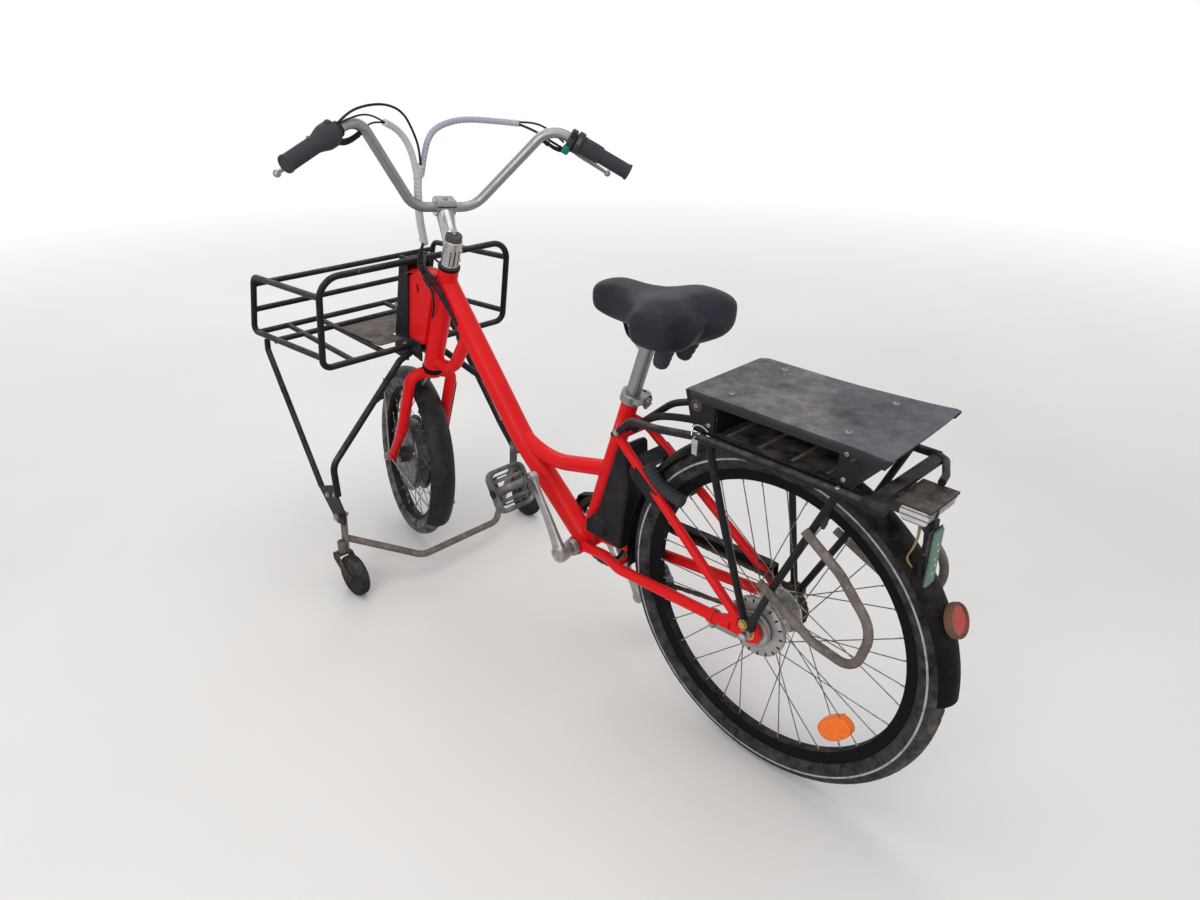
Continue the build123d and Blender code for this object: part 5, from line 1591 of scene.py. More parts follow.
@dataclass
class BarEnd:
    """Grip, controls and lever of one end of the handlebar."""

    flank: int

    def __post_init__(self) -> None:
        """Works out the directions at this end."""
        self.hand = "left" if self.flank > 0 else "right"
        self.run = (grip_point(self.flank, 1.0) - grip_point(self.flank, 0.0)).normalized()
        ahead = TURN @ AHEAD
        self.ahead = (ahead - self.run * ahead.dot(self.run)).normalized()
        self.down = self.run.cross(self.ahead) * self.flank
        drop = math.radians(40)
        self.lever_way = self.ahead * math.cos(drop) + self.down * math.sin(drop)

    def turned(self, name: str, share: float, profile: Sequence[tuple[float, float]], finish: str,
            segments: int = 40) -> bpy.types.Object:
        """Returns a body turned round the bar, its profile starting at a share of the run."""
        return lathe(name, profile, grip_point(self.flank, share), self.run, finish, segments)

    def grip(self) -> bpy.types.Object:
        """Returns the grip: a sleeve with fine rings, and on the right a wider twist part."""
        profile: list[tuple[float, float]] = [(0, 0)]
        if self.flank > 0:
            profile += [(16.0, 0), (18.6, 1), (18.4, 6), (17.2, 14), (16.4, 22)]
            along, radius, shift = 22.0, 16.3, 0.0
        else:
            profile += [(18.0, 0), (19.6, 1.5), (19.7, 6), (19.0, 8), (18.6, 42), (19.0, 43.5), (18.8, 46),
                (16.6, 47.5)]
            along, radius, shift = 48.0, 16.1, 22.4
        while along < 88 + shift:
            profile += [(radius, along), (radius + 0.35, along + 0.5), (radius + 0.35, along + 1.7),
                (radius, along + 2.2)]
            along += 2.9
        profile.append((radius, along))
        profile += [(r, z + shift) for r, z in ((17.6, 91), (17.9, 92.5), (17.8, 95.0), (17.0, 96.2),
            (13.4, 96.6), (12.8, 95.4), (12.2, 95.4), (11.6, 96.4), (0, 96.7))]
        start = 0.515 if self.flank > 0 else 0.400
        return self.turned("sleeve", start, mm(*(n for pair in profile for n in pair)), "grip_rubber", 48)

    def twist_ribs(self) -> bpy.types.Object:
        """Returns the lengthwise ribs of the twist part."""
        rib = lathe("rib", mm(0, -16, 0.8, -15, 1.1, 0, 0.8, 15, 0, 16), Vector(), SKY, "grip_rubber", 6)
        spots = []
        centre = grip_point(self.flank, 0.400) + self.run * 0.025
        for angle in around(22):
            out = self.ahead * math.cos(angle) + self.down * math.sin(angle)
            spots.append((centre + out * 0.0185, frame_of(self.run)))
        return Repeat(rib, "grip_rubber").at("ribs", spots)

    def knob(self, name: str, share: float, way: Vector, out: float, size: Point,
            finish: str) -> bpy.types.Object:
        """Returns a rounded block that stands on the bar's controls.

        Args:
            name: Name of the part.
            share: Place along the run.
            way: Direction from the bar.
            out: Distance of its middle from the bar's line.
            size: Half sizes along the run, across, and away from the bar.
            finish: Name of the material.

        Returns:
            The block.
        """
        way = (way - self.run * way.dot(self.run)).normalized()
        side = self.run.cross(way)
        centre = grip_point(self.flank, share) + way * out
        rings = []
        for level, pull in ((-1.0, 0.7), (-0.8, 0.95), (0.0, 1.0), (0.7, 0.95), (0.93, 0.8), (1.0, 0.5)):
            rings.append(oval(centre + way * (size[2] * level), self.run, side, size[0] * pull,
                size[1] * pull, 0.7, 24))
        return loft(name, rings, finish)

    def left_controls(self) -> list[bpy.types.Object]:
        """Returns the bulky housing of the left hand."""
        up = -self.down
        return [
            self.turned("housing", 0.360, mm(0, 0, 18, 0, 23, 1.5, 24.5, 5, 24.6, 15, 24, 20, 24.2, 21,
                22.6, 27, 20.6, 33, 18.8, 39, 17.2, 45, 0, 45), "grip_rubber"),
            self.turned("collar", 0.325, mm(0, 0, 15.5, 0, 20, 1.2, 21, 5, 19.8, 7.2, 0, 7.2), "grip_rubber"),
            self.knob("cable_boss", 0.385, up, 0.020, (0.006, 0.007, 0.007), "grip_rubber"),
            self.knob("screw_boss", 0.66, up, 0.0180, (0.0035, 0.0035, 0.0035), "brown_window"),
        ]

    def right_controls(self) -> list[bpy.types.Object]:
        """Returns the two-part gear shifter with its green tip."""
        up = -self.down
        return [
            self.turned("ring_one", 0.235, mm(0, 0, 17, 0, 21.4, 1.5, 22, 4, 22, 12, 20.8, 14, 17.5, 14.5,
                0, 14.5), "grip_rubber"),
            self.turned("ring_two", 0.318, mm(0, 0, 18.5, 0, 23.6, 1.5, 24.4, 4, 24.4, 12, 23, 15, 19.6, 16.5,
                0, 16.5), "grip_rubber"),
            self.knob("window", 0.356, up * 0.35 - self.ahead * 0.9, 0.0222, (0.0042, 0.0095, 0.0034),
                "brown_window"),
            self.knob("boss", 0.27, up * 0.6 - self.ahead * 0.8, 0.019, (0.0055, 0.008, 0.005),
                "black_plastic"),
            self.knob("green_tip", 0.265, -self.ahead * 0.55 + self.down * 1.1, 0.0265,
                (0.0085, 0.0095, 0.0090), "teal_plastic"),
        ]

    def lever(self) -> list[bpy.types.Object]:
        """Returns the lever with its ball end."""
        way = self.lever_way
        end = 0.97 if self.flank > 0 else 0.82
        tip = grip_point(self.flank, end) + way * 0.052
        route = [grip_point(self.flank, 0.325) + way * 0.030, grip_point(self.flank, 0.37) + way * 0.040,
            grip_point(self.flank, 0.46) + way * 0.0455, grip_point(self.flank, 0.62) + way * 0.0480,
            grip_point(self.flank, end - 0.09) + way * 0.0508, tip]
        path = evenly(line_of(route), 0.003)
        rings = []
        for index, centre in enumerate(path):
            share = index / (len(path) - 1)
            ahead = path[min(index + 1, len(path) - 1)] - path[max(index - 1, 0)]
            side = ahead.normalized().cross(way).normalized()
            wide = 0.0068 - 0.0030 * share
            rings.append(oval(centre, side, side.cross(ahead.normalized()), wide, wide * 0.62, 0.75, 16))
        blade = loft("blade", rings, "satin_alloy")
        ball = lathe("ball", [(0.0076 * math.sin(math.pi * s / 12), -0.0076 * math.cos(math.pi * s / 12))
            for s in range(13)], tip, self.run, "satin_alloy", 24)
        return [blade, ball]

    def bracket(self) -> list[bpy.types.Object]:
        """Returns the lever's clamp with its pivot screw and the cable adjuster."""
        way = self.lever_way
        side = self.run.cross(way).normalized()
        root = grip_point(self.flank, 0.315)
        rings = [oval(root + way * out + self.run * shift, self.run, side, wide, high, 0.7, 20)
            for out, shift, wide, high in ((0.012, 0.0, 0.0105, 0.0105), (0.020, 0.001, 0.0100, 0.0085),
            (0.030, 0.003, 0.0090, 0.0075), (0.037, 0.005, 0.0085, 0.0070), (0.040, 0.006, 0.0055, 0.0050))]
        inboard = [grip_point(self.flank, share) + self.down * low + self.ahead * out for share, low, out
            in ((0.33, 0.018, 0.010), (0.25, 0.033, 0.008), (0.16, 0.037, 0.004), (0.08, 0.035, 0.0),
            (0.01, 0.033, 0.0))]
        pivot = root + way * 0.032 + self.run * 0.003
        screw = mm(0, -9.5, 4.2, -9.5, 4.2, 9, 3, 10, 0, 10)
        adjuster = mm(0, 0, 4.8, 0, 5.2, 2, 5.2, 8, 4, 9, 4, 14, 3, 16, 0, 16)
        return [
            self.turned("clamp", 0.27, mm(0, 0, 14.8, 0, 15.9, 1.2, 15.9, 16.4, 14.8, 17.6, 0, 17.6),
                "black_plastic"),
            loft("arm", rings, "black_plastic"),
            lathe("pivot", screw, pivot, side, "zinc_steel", 14),
            swept("hanger", evenly(line_of(inboard), 0.003), "black_plastic",
                lambda along, _angle: (0.0078 if self.flank > 0 else 0.0062) - 0.045 * along, 14),
            lathe("adjuster", adjuster, inboard[-2], -self.run, "black_plastic", 14),
        ]

    def build(self) -> list[bpy.types.Object]:
        """Returns every part of the controls of this end, and seats its grip and lever."""
        grip_parts = [self.grip()]
        if self.flank < 0:
            grip_parts.append(self.twist_ribs())
        hand_in(f"ringed_grip_{self.hand}", grip_parts, 40, Body.STEERING, ["grips"])
        hand_in(f"ball_lever_{self.hand}", self.lever(), 45, Body.STEERING, ["brake_levers"])
        controls = self.left_controls() if self.flank > 0 else self.right_controls()
        return [shaded(part, 38) for part in (*controls, *self.bracket())]


@dataclass
class Quill:
    """Clamp block, cap, slots and bolts of the stem, with the ring on the head."""

    def build(self) -> None:
        """Builds what the stem carries."""
        up, ahead, left = TURN @ UP, TURN @ AHEAD, TURN @ LEFT
        clamp = steered(BAR_CLAMP)
        outline = mm(-19.2, -2, -18.5, 8, -15, 17.5, -12, 20, 12, 20, 15, 17.5, 18.5, 8, 19.2, -2, 16, -13.5,
            10, -17.5, -10, -17.5, -16, -13.5)
        parts = [slab("block", outline, clamp + left * 0.0215, ahead, up, 0.043, "satin_alloy", 0.0012)]
        quill = HEAD_BOTTOM + up * 0.318
        reach = clamp - quill
        rings = []
        for share, wide, high in ((0.0, 0.0165, 0.0185), (0.2, 0.0160, 0.0165), (0.5, 0.0172, 0.0158),
                (0.78, 0.0200, 0.0160), (0.97, 0.0205, 0.0165)):
            rings.append(oval(quill + reach * share, left, left.cross(reach).normalized(), wide, high, 0.85,
                32))
        parts.append(loft("neck", rings, "bright_chrome"))
        seam = mm(-19.5, 8.5, 19.5, 8.5, 19.5, 10, -19.5, 10)
        parts.append(slab("seam", seam, clamp + left * 0.0218, ahead, up, 0.0436, "dusty_black", 0.0002))
        cap_foot = HEAD_BOTTOM + up * 0.352
        cap = mm(0, -9, 17.8, -9, 18.2, -6, 18, 2.2, 16, 4.4, 6.2, 5.8, 5.8, 4, 0, 4)
        parts.append(lathe("cap", cap, cap_foot, up, "grey_cap", 36))
        socket = mm(0, 3.6, 4.6, 3.6, 4.6, 7.4, 3.4, 8, 2.2, 8, 2, 6, 0, 6)
        parts.append(lathe("socket", socket, cap_foot, up, "bright_chrome", 18))
        foot = HEAD_BOTTOM + up * 0.280
        for angle in (-0.50, -0.02, 0.46):
            way = (ahead * -math.cos(angle) + left * math.sin(angle)).normalized()
            side = up.cross(way)
            slot = mm(-1.1, 8, 1.1, 8, 1.1, 44, -1.1, 44)
            parts.append(slab("slot", slot, foot + way * 0.0197, side, up, 0.0012, "dusty_black", 0.0002))
        sleeve = mm(15.2, 1, 20.3, 1, 20.6, 3, 20.6, 54, 20.9, 56, 20.4, 61.2, 18.5, 63, 15.2, 63)
        parts.append(turned_ring("sleeve", sleeve, foot, up, "bright_chrome", 64))
        head = HEAD_BOTTOM + up * 0.272
        dark = mm(15, 0.6, 24.4, 0.6, 24.8, 1.8, 24.6, 7.2, 23.6, 8.6, 15, 9)
        parts.append(turned_ring("upper_race", dark, head, up, "dusty_black", 56))
        low = mm(15, -0.5, 24.4, -0.5, 25, -2, 25, -12, 24.4, -13.5, 15, -13.5)
        parts.append(turned_ring("lower_race", low, HEAD_BOTTOM, up, "dusty_black", 56))
        hand_in("quill_details", parts, 38, Body.STEERING)
        bolts = Fasteners("stem_bolts", Body.STEERING)
        bolts.put(Fitting.PAN, 0.0052, "zinc_steel", [clamp + up * 0.0198], up)
        side_way = (left * -0.85 - ahead * 0.45).normalized()
        bolts.put(Fitting.PAN, 0.0040, "gold_washer", [foot + up * 0.018 + side_way * 0.0204,
            foot + up * 0.040 + side_way * 0.0204], side_way)
        bolts.build()


@dataclass
class BarCables:
    """Wrapped cable bundles from the bar's ends to the head, with their ties."""

    wrap_pitch: float = 0.0085

    def bundle(self, name: str, route: Sequence[Point], radius: float, spiral: bool,
            finish: str) -> bpy.types.Object:
        """Returns one bundle, with the groove of its spiral wrap where it has one."""
        path = evenly(line_of([steered(Vector(p) / 1000) for p in route]), 0.0011 if spiral else 0.004)

        def section(along: float, angle: float) -> float:
            """Radius of the bundle at a place."""
            if not spiral:
                return radius
            turn = (along / self.wrap_pitch + angle / (2 * math.pi)) % 1.0
            dip = max(0.0, 1 - min(turn, 1 - turn) / 0.13)
            return radius - 0.0016 * dip

        return swept(name, path, finish, section, 18 if spiral else 12)

    def build(self, controls: list[bpy.types.Object]) -> None:
        """Builds the cables and seats the controls that they end in.

        Args:
            controls: Parts of the two bar ends.
        """
        left = [(880, 152, 1084), (900, 126, 1076), (919, 95, 1051), (929, 75, 1014), (937, 65, 975)]
        right = [(939, 55, 976), (938, 48, 1030), (950, 31, 1062), (970, 2, 1078), (995, -54, 1091),
            (992, -118, 1092), (946, -174, 1091)]
        down = [(936, 60, 1000), (942, 62, 976), (950, 58, 926), (976, 44, 868), (1002, 24, 822)]
        arc = [(833, 258, 1080), (838, 236, 1102), (850, 196, 1116), (868, 150, 1119), (895, 108, 1104),
            (915, 80, 1066), (928, 62, 1030), (936, 57, 990)]
        thin = [(833, 256, 1080), (842, 226, 1094), (858, 196, 1099), (866, 172, 1094), (881, 150, 1083)]
        pull = [(879, 200, 1062), (884, 188, 1076), (884, 168, 1085), (881, 150, 1083)]
        grey = [
            self.bundle("left", left, 0.0068, False, "grey_wrap"),
            self.bundle("right", right, 0.0066, True, "blue_wrap"),
            self.bundle("down", down, 0.0086, True, "grey_wrap"),
        ]
        black = [
            self.bundle("arc", arc, 0.0024, False, "black_plastic"),
            self.bundle("thin", thin, 0.0018, False, "black_plastic"),
            self.bundle("pull", pull, 0.0018, False, "black_plastic"),
            self.bundle("right_lead", [(862, -240, 1050), (888, -222, 1062), (924, -196, 1082),
                (952, -168, 1091)], 0.0026, False, "black_plastic"),
            self.bundle("right_wire", [(866, -244, 1062), (900, -236, 1078), (932, -204, 1098),
                (950, -170, 1093)], 0.0022, False, "black_plastic"),
        ]
        ties = []
        for spot, radius in (((938, 60, 997), 0.0098), ((943, 61, 972), 0.0094), ((996, 30, 832), 0.0092),
                ((956, -164, 1092), 0.0070)):
            place = steered(Vector(spot) / 1000)
            way = steered(Vector(spot) / 1000 + Vector((0.02, -0.01, -0.05))) - place
            if spot[1] < 0:
                way = TURN @ Vector((0.6, 1.0, 0.05))
            ring = [(radius - 0.002, -0.0022), (radius, -0.0020), (radius + 0.0006, 0.0), (radius, 0.0020),
                (radius - 0.002, 0.0022)]
            ties.append(turned_ring("tie", ring, place, way.normalized(), "pale_tie", 28))
        hand_in("wrapped_cables", (*grey, *black, *ties), 50, Body.STEERING, ["bar_cables"])
        seat(join("hand_controls", controls), Body.STEERING, ["bar_controls"])


@dataclass
class HeadLeads:
    """Black leads and plugs between the bundle's end and the down tube."""

    def build(self) -> None:
        """Builds the leads."""
        parts = []
        end = tuple(steered(Vector((0.998, 0.027, 0.828))) * 1000)
        routes = (
            (end, (996, 20, 806), (975, 31, 780), (940, 33, 752), (905, 32, 722), (888, 30, 700)),
            (end, (1004, 10, 808), (966, 33, 768), (935, 36, 738), (930, 34, 700), (950, 31, 668)),
            (end, (986, 26, 812), (984, 34, 790), (972, 35, 772), (958, 34, 760)),
            ((990, -12, 792), (965, -30, 766), (936, -33, 736), (915, -31, 700)),
        )
        for index, route in enumerate(routes):
            line = [Vector(p) / 1000 for p in route]
            parts.append(cord(f"lead_{index}", line, 0.004, 0.0025, "black_plastic", 10))
        for spot, way in (((0.974, 0.0335, 0.777), (-0.75, 0.1, -0.6)),
                ((0.951, 0.0355, 0.752), (-0.8, 0, -0.6))):
            plug = mm(0, -13, 3.8, -13, 5, -10, 5, 10, 3.8, 13, 0, 13)
            parts.append(lathe("plug", plug, Vector(spot), Vector(way), "black_plastic", 14))
        hand_in("head_leads", parts, 40, Body.FRAME)


@dataclass
class Shield:
    """Curved lip along the top of the shield sheet."""

    def build(self) -> None:
        """Builds the lip."""
        rings = []
        for step in range(15):
            share = step / 14
            x = 0.950 + 0.112 * share
            z = 0.7600 + 0.0072 * math.sin(math.pi * min(1.0, share * 1.15)) - 0.012 * max(0.0, share - 0.6)
            left = 0.0255 + 0.012 * math.sin(math.pi * share) ** 0.8
            ring = []
            for y, lift in ((-0.0255, -0.003), (-0.012, 0.0010), (0.004, 0.0018), (0.018, 0.0010),
                    (left, -0.004)):
                ring.append(Vector((x, y, z + lift)))
            for y, lift in ((left - 0.001, -0.006), (0.017, -0.0011), (0.004, -0.0003), (-0.012, -0.0011),
                    (-0.0245, -0.005)):
                ring.append(Vector((x, y, z + lift)))
            rings.append(ring)
        lip = loft("lip", rings, "red_paint")
        finer = lip.modifiers.new("round", "SUBSURF")
        finer.levels = finer.render_levels = 2
        seat(shaded(baked(lip), 50), Body.FRAME)


@dataclass
class StandDetails:
    """Coil spring, pivot bolts and castor nuts of the front stand."""

    spring_top: Vector = Vector((1.0302, -0.226, 0.392))
    spring_foot: Vector = Vector((1.0284, -0.262, 0.350))
    coil_radius: float = 0.0064
    wire: float = 0.0011
    turns: int = 13
    castor: tuple[float, float, float] = (1.010, 0.276, 0.052)

    def spring(self) -> None:
        """Builds the coil spring with its hooks."""
        line = self.spring_foot - self.spring_top
        way = line.normalized()
        across = way.orthogonal().normalized()
        up = way.cross(across)
        path = [self.spring_top - way * 0.001, self.spring_top + way * 0.004 + up * 0.003]
        steps = self.turns * 14
        for step in range(steps + 1):
            angle = 2 * math.pi * self.turns * step / steps
            place = self.spring_top + way * (0.007 + (line.length - 0.014) * step / steps)
            path.append(place + (across * math.cos(angle) + up * math.sin(angle)) * self.coil_radius)
        path += [self.spring_foot - way * 0.004 + up * 0.003, self.spring_foot + way * 0.001]
        coil = swept("coil_spring", path, "zinc_steel", lambda _along, _angle: self.wire, 6)
        seat(coil, Body.FRAME, ["stand_spring"])

    def bolts(self) -> None:
        """Builds the bolts on every body of the stand."""
        for hand, flank in (("left", 1), ("right", -1)):
            wheel = Body(f"{hand}_castor_wheel")
            x, y, z = self.castor
            nuts = Fasteners(f"castor_nuts_{hand}", wheel)
            for side in (1, -1):
                nuts.put(Fitting.PAN, 0.0065, "zinc_steel", [(x, flank * y + side * 0.0142, z)], (0, side, 0))
            nuts.build()
            rim = mm(14.5, -15, 23, -15, 24.5, -13.8, 24.5, 13.8, 23, 15, 14.5, 15)
            hub = turned_ring(f"castor_rim_{hand}", rim, Vector((x, flank * y, z)), LEFT, "castor_rubber", 48)
            seat(shaded(hub), wheel)
        stand = Fasteners("stand_bolts", Body.STAND)
        frame = Fasteners("strut_bolts", Body.FRAME)
        for flank in (1, -1):
            stand.put(Fitting.HEX, 0.0062, "zinc_steel", [(1.045, flank * 0.2860, 0.205)], (0, flank, 0))
            stand.put(Fitting.NUT, 0.0055, "zinc_steel", [(1.045, flank * 0.2615, 0.205)], (0, -flank, 0))
            stand.put(Fitting.HEX, 0.0048, "rusty_tube", [(1.0555, flank * 0.2642, 0.128)], (0, -flank, 0))
            out = (0, flank, 0)
            frame.put(Fitting.HEX, 0.0050, "zinc_steel", [(1.088, flank * 0.2786, 0.247),
                (1.050, flank * 0.2786, 0.262)], out)
            frame.put(Fitting.PAN, 0.0050, "zinc_steel", [(1.276, flank * 0.2682, 0.478)], out)
            frame.put(Fitting.HEX, 0.0045, "zinc_steel", [(1.0725, flank * 0.0312, 0.574),
                (1.094, flank * 0.0312, 0.668)], out)
            frame.put(Fitting.PAN, 0.0040, "black_paint", [(1.060, flank * 0.0312, 0.756),
                (1.104, flank * 0.0312, 0.560)], out)
        stand.build()
        frame.build()

    def build(self) -> None:
        """Builds the details."""
        self.spring()
        self.bolts()


@dataclass
class SeatClamp:
    """Quick-release collar and the bolts under the saddle."""

    top: Vector = Vector((0.351, 0.0, 0.6474))

    def build(self) -> None:
        """Builds the collar's lever and the clamp bolts."""
        way = (self.top - BRACKET).normalized()
        parts = []
        collar = mm(17.2, -12, 21, -12, 22.4, -10.2, 21.8, -3.5, 22.4, -1, 22.4, 6.6, 20.8, 8.4, 14.7, 9,
            14.7, 4, 17.2, 3.5)
        parts.append(turned_ring("collar", collar, self.top, way, "satin_alloy", 48))
        back = Vector((-0.80, -0.60, 0))
        back = (back - way * back.dot(way)).normalized()
        wide = way.cross(back).normalized()
        lug = self.top + back * 0.028 - way * 0.002
        for side in (1, -1):
            outline = mm(-9, -9.5, 7, -9.5, 11, 0, 7, 9.5, -9, 9.5)
            parts.append(slab("lug", outline, lug + wide * (side * 0.0048), back, way, -0.004 * side,
                "satin_alloy", 0.0008))
        for rise in (-0.0050, 0.0050):
            pin = mm(0, -17, 4.2, -17, 4.2, -12, 2.6, -12, 2.6, 12, 4.8, 12.5, 5, 17.5, 3.6, 19, 0, 19)
            parts.append(lathe("pin", pin, lug + way * rise + back * 0.001, wide, "zinc_steel", 16))
        route = [lug + wide * 0.018 + way * 0.006, lug + wide * 0.020 - back * 0.012 + way * 0.004,
            lug + wide * 0.026 - back * 0.026, lug + wide * 0.027 - back * 0.040 - way * 0.003]
        path = evenly(line_of(route), 0.003)
        rings = []
        for index, centre in enumerate(path):
            ahead = (path[min(index + 1, len(path) - 1)] - path[max(index - 1, 0)]).normalized()
            across = ahead.cross(way).normalized()
            share = index / (len(path) - 1)
            rings.append(oval(centre, way, across, 0.0042 + 0.0022 * share, 0.0019, 0.8, 16))
        parts.append(loft("lever", rings, "satin_alloy"))
        yoke = Vector((0.3142, 0.0, 0.7675))
        block = []
        for x, half in ((-0.018, 0.006), (-0.014, 0.0105), (0.0, 0.0125), (0.014, 0.0105), (0.018, 0.006)):
            block.append(oval(yoke + Vector((x, 0, 0.003)), LEFT, SKY, 0.0245, half, 0.7, 24))
        parts.append(loft("yoke", block, "dusty_black"))
        hand_in("seat_clamp", parts, 38, Body.FRAME)
        bolts = Fasteners("saddle_bolts", Body.FRAME)
        for flank in (1, -1):
            bolts.put(Fitting.NUT, 0.0062, "zinc_steel", [(0.3142, flank * 0.0262, 0.7695)], (0, flank, 0))
        bolts.build()
        rails = []
        for flank in (1, -1):
            line = [Vector((x, flank * y, z)) for x, y, z in ((0.366, 0.012, 0.802), (0.354, 0.017, 0.779),
                (0.338, 0.022, 0.7698), (0.310, 0.0235, 0.7695), (0.266, 0.024, 0.7695),
                (0.240, 0.034, 0.7760), (0.214, 0.044, 0.8000))]
            rails.append(cord("rail", line, 0.004, 0.0036, "dusty_black", 12))
        seat(join("bent_rails", rails), Body.FRAME, ["saddle_rails"])
        rubbers = []
        for flank in (1, -1):
            start, end = Vector((0.258, flank * 0.030, 0.744)), Vector((0.236, flank * 0.038, 0.798))
            height = (end - start).length
            profile: list[tuple[float, float]] = [(0, -0.004), (0.0105, -0.004), (0.0135, -0.001)]
            for fold in range(5):
                low = height * (fold / 5)
                swell = 0.0005 + 0.0048 * fold / 5
                profile += [(0.0136 + swell, low + 0.001), (0.0148 + swell, low + height * 0.10),
                    (0.0136 + swell, low + height * 0.19)]
            profile += [(0.0170, height), (0, height)]
            rubbers.append(lathe("rubber", profile, start, end - start, "grip_rubber", 32))
        hand_in("saddle_rubbers", rubbers, 45, Body.FRAME)


@dataclass
class RackDeck:
    """Sheet of the rear deck: folded edges, a sprung-up rear corner and its screws."""

    front: float = 0.1405
    rear: float = -0.2215
    half: float = 0.1040
    top: float = 0.7560
    thick: float = 0.0022
    flange: float = 0.0135

    def warp(self, x: float, y: float) -> float:
        """Returns how far the sheet is bent away from flat."""
        back = max(0.0, (0.02 - x) / 0.24)
        right = max(0.0, (0.055 - y) / 0.16)
        lift = 0.012 * back**2.2 * right**1.6
        sag = -0.0035 * max(0.0, back - 0.75) * 4 * max(0.0, y / self.half) ** 3
        wave = 0.0007 * math.sin(x * 31 + y * 17) * back
        front = -0.004 * max(0.0, (x - (self.front - 0.006)) / 0.006) ** 2
        return lift + sag + wave + front

    def build(self) -> None:
        """Builds the sheet and the screws."""
        count, across = 44, 18
        rings = []
        for row in range(count + 1):
            share = row / count
            x = self.rear + (self.front - self.rear) * share
            if row == count - 1:
                x = self.front - 0.0015
            corner = 0.0
            for end, span in ((self.front, 0.009), (self.rear, 0.004)):
                gap = abs(end - x)
                if gap < span:
                    corner = max(corner, span - math.sqrt(max(0.0, span**2 - (span - gap) ** 2)))
            half = self.half - corner
            flange = self.flange if self.rear + 0.004 < x < self.front - 0.012 else 0.0015
            outer = [Vector((x, half, self.top - 0.0035 - flange)), Vector((x, half, self.top - 0.0032)),
                Vector((x, half - 0.001, self.top - 0.0010))]
            for step in range(across + 1):
                y = (half - 0.003) * (1 - 2 * step / across)
                outer.append(Vector((x, y, self.top)))
            outer += [Vector((x, 0.001 - half, self.top - 0.0010)), Vector((x, -half, self.top - 0.0032)),
                Vector((x, -half, self.top - 0.0035 - flange))]
            inner = []
            for point in reversed(outer):
                side = math.copysign(1.0, point.y)
                if point.z < self.top - 0.0005:
                    low = min(point.z, self.top - self.thick - 0.0008)
                    inner.append(Vector((x, point.y - side * self.thick, low)))
                else:
                    inner.append(point - Vector((0, 0, self.thick)))
            ring = [Vector((p.x, p.y, p.z + self.warp(x, p.y))) for p in outer + inner]
            rings.append(ring)
        sheet = shaded(loft("deck_skin", rings, "deck_sheet"), 30)
        seat(sheet, Body.FRAME, ["rack_deck"])
        screws = Fasteners("deck_screws", Body.FRAME)
        places = []
        for x, y in ((0.0712, 0.0725), (-0.1342, 0.0684), (0.0712, -0.0725), (-0.1342, -0.0684)):
            places.append((x, y, self.top + self.warp(x, y) - 0.0012))
        screws.put(Fitting.PAN, 0.0062, "dull_screw", places, (0, 0, 1))
        screws.build()


@dataclass
class BatteryBay:
    """Bolts, buckle, liner and rails of the empty battery bay under the deck."""

    def build(self) -> None:
        """Builds the details of the bay."""
        parts = []
        for flank in (1, -1):
            out = Vector((0, flank, 0))
            dish = mm(0, 0, 11.2, 0, 11.4, 1.2, 9.2, 2.8, 6.8, 3, 6.2, 1.2, 0, 1.2)
            spot = Vector((0.1165, flank * 0.1020, 0.7310))
            parts.append(lathe("dish", dish, spot, out, "brown_grime", 28))
            core = mm(0, 0, 4.4, 0, 4.2, 2.6, 2, 2.8, 1.8, 1.6, 0, 1.6)
            parts.append(lathe("core", core, spot, out, "dull_screw", 20))
            outline = mm(-4, -18, 6, -18, 7.5, 8, 2, 16, -5.5, 10)
            parts.append(slab("buckle", outline, Vector((0.1060, flank * 0.1155 - 0.001, 0.6680)), NOSE, SKY,
                0.002, "bright_chrome", 0.0004))
            hook = [Vector((0.112, flank * 0.1165, 0.684)), Vector((0.115, flank * 0.113, 0.696)),
                Vector((0.112, flank * 0.106, 0.700)), Vector((0.100, flank * 0.103, 0.699)),
                Vector((0.088, flank * 0.105, 0.694))]
            parts.append(cord("hook", hook, 0.002, 0.0014, "bright_chrome", 8))
            rod_line = [Vector((0.118, flank * 0.100, 0.6905)), Vector((0.030, flank * 0.1005, 0.6905)),
                Vector((-0.080, flank * 0.1005, 0.6905)), Vector((-0.158, flank * 0.100, 0.6905))]
            parts.append(swept("edge_rail", evenly(rod_line, 0.01), "dusty_black",
                lambda _along, _angle: 0.0036, 10))
        for x in (0.060, 0.0, -0.060, -0.120):
            outline = mm(-90, -3, 90, -3, 90, 3, -90, 3)
            parts.append(slab("rib", outline, Vector((x, 0, 0.6898)), LEFT, Vector((-1, 0, 0)), 0.0022,
                "rusty_tube", 0.0008))
        latch = mm(-16, -10, 16, -10, 16, 8, 8, 13, -8, 13, -16, 8)
        parts.append(slab("latch_plate", latch, Vector((-0.1675, 0.0, 0.722)), LEFT, SKY, 0.0016,
            "zinc_steel", 0.0004))
        hand_in("bay_fittings", parts, 35, Body.FRAME)
        bolts = Fasteners("rack_bolts", Body.FRAME)
        for flank in (1, -1):
            out = (0, flank, 0)
            bolts.put(Fitting.PAN, 0.0040, "zinc_steel", [(0.090, flank * 0.1021, 0.704),
                (-0.154, flank * 0.1021, 0.741), (-0.154, flank * 0.1021, 0.700)], out)
            bolts.put(Fitting.HEX, 0.0062, "gold_washer", [(0.004, flank * 0.0826, 0.3490)], out)
            bolts.put(Fitting.HEX, 0.0046, "zinc_steel", [(0.345, flank * 0.0500, 0.5880)], out)
            bolts.put(Fitting.PAN, 0.0042, "zinc_steel", [(0.104, flank * 0.1080, 0.6872),
                (-0.150, flank * 0.1080, 0.6872)], (0, 0, 1))
        bolts.build()


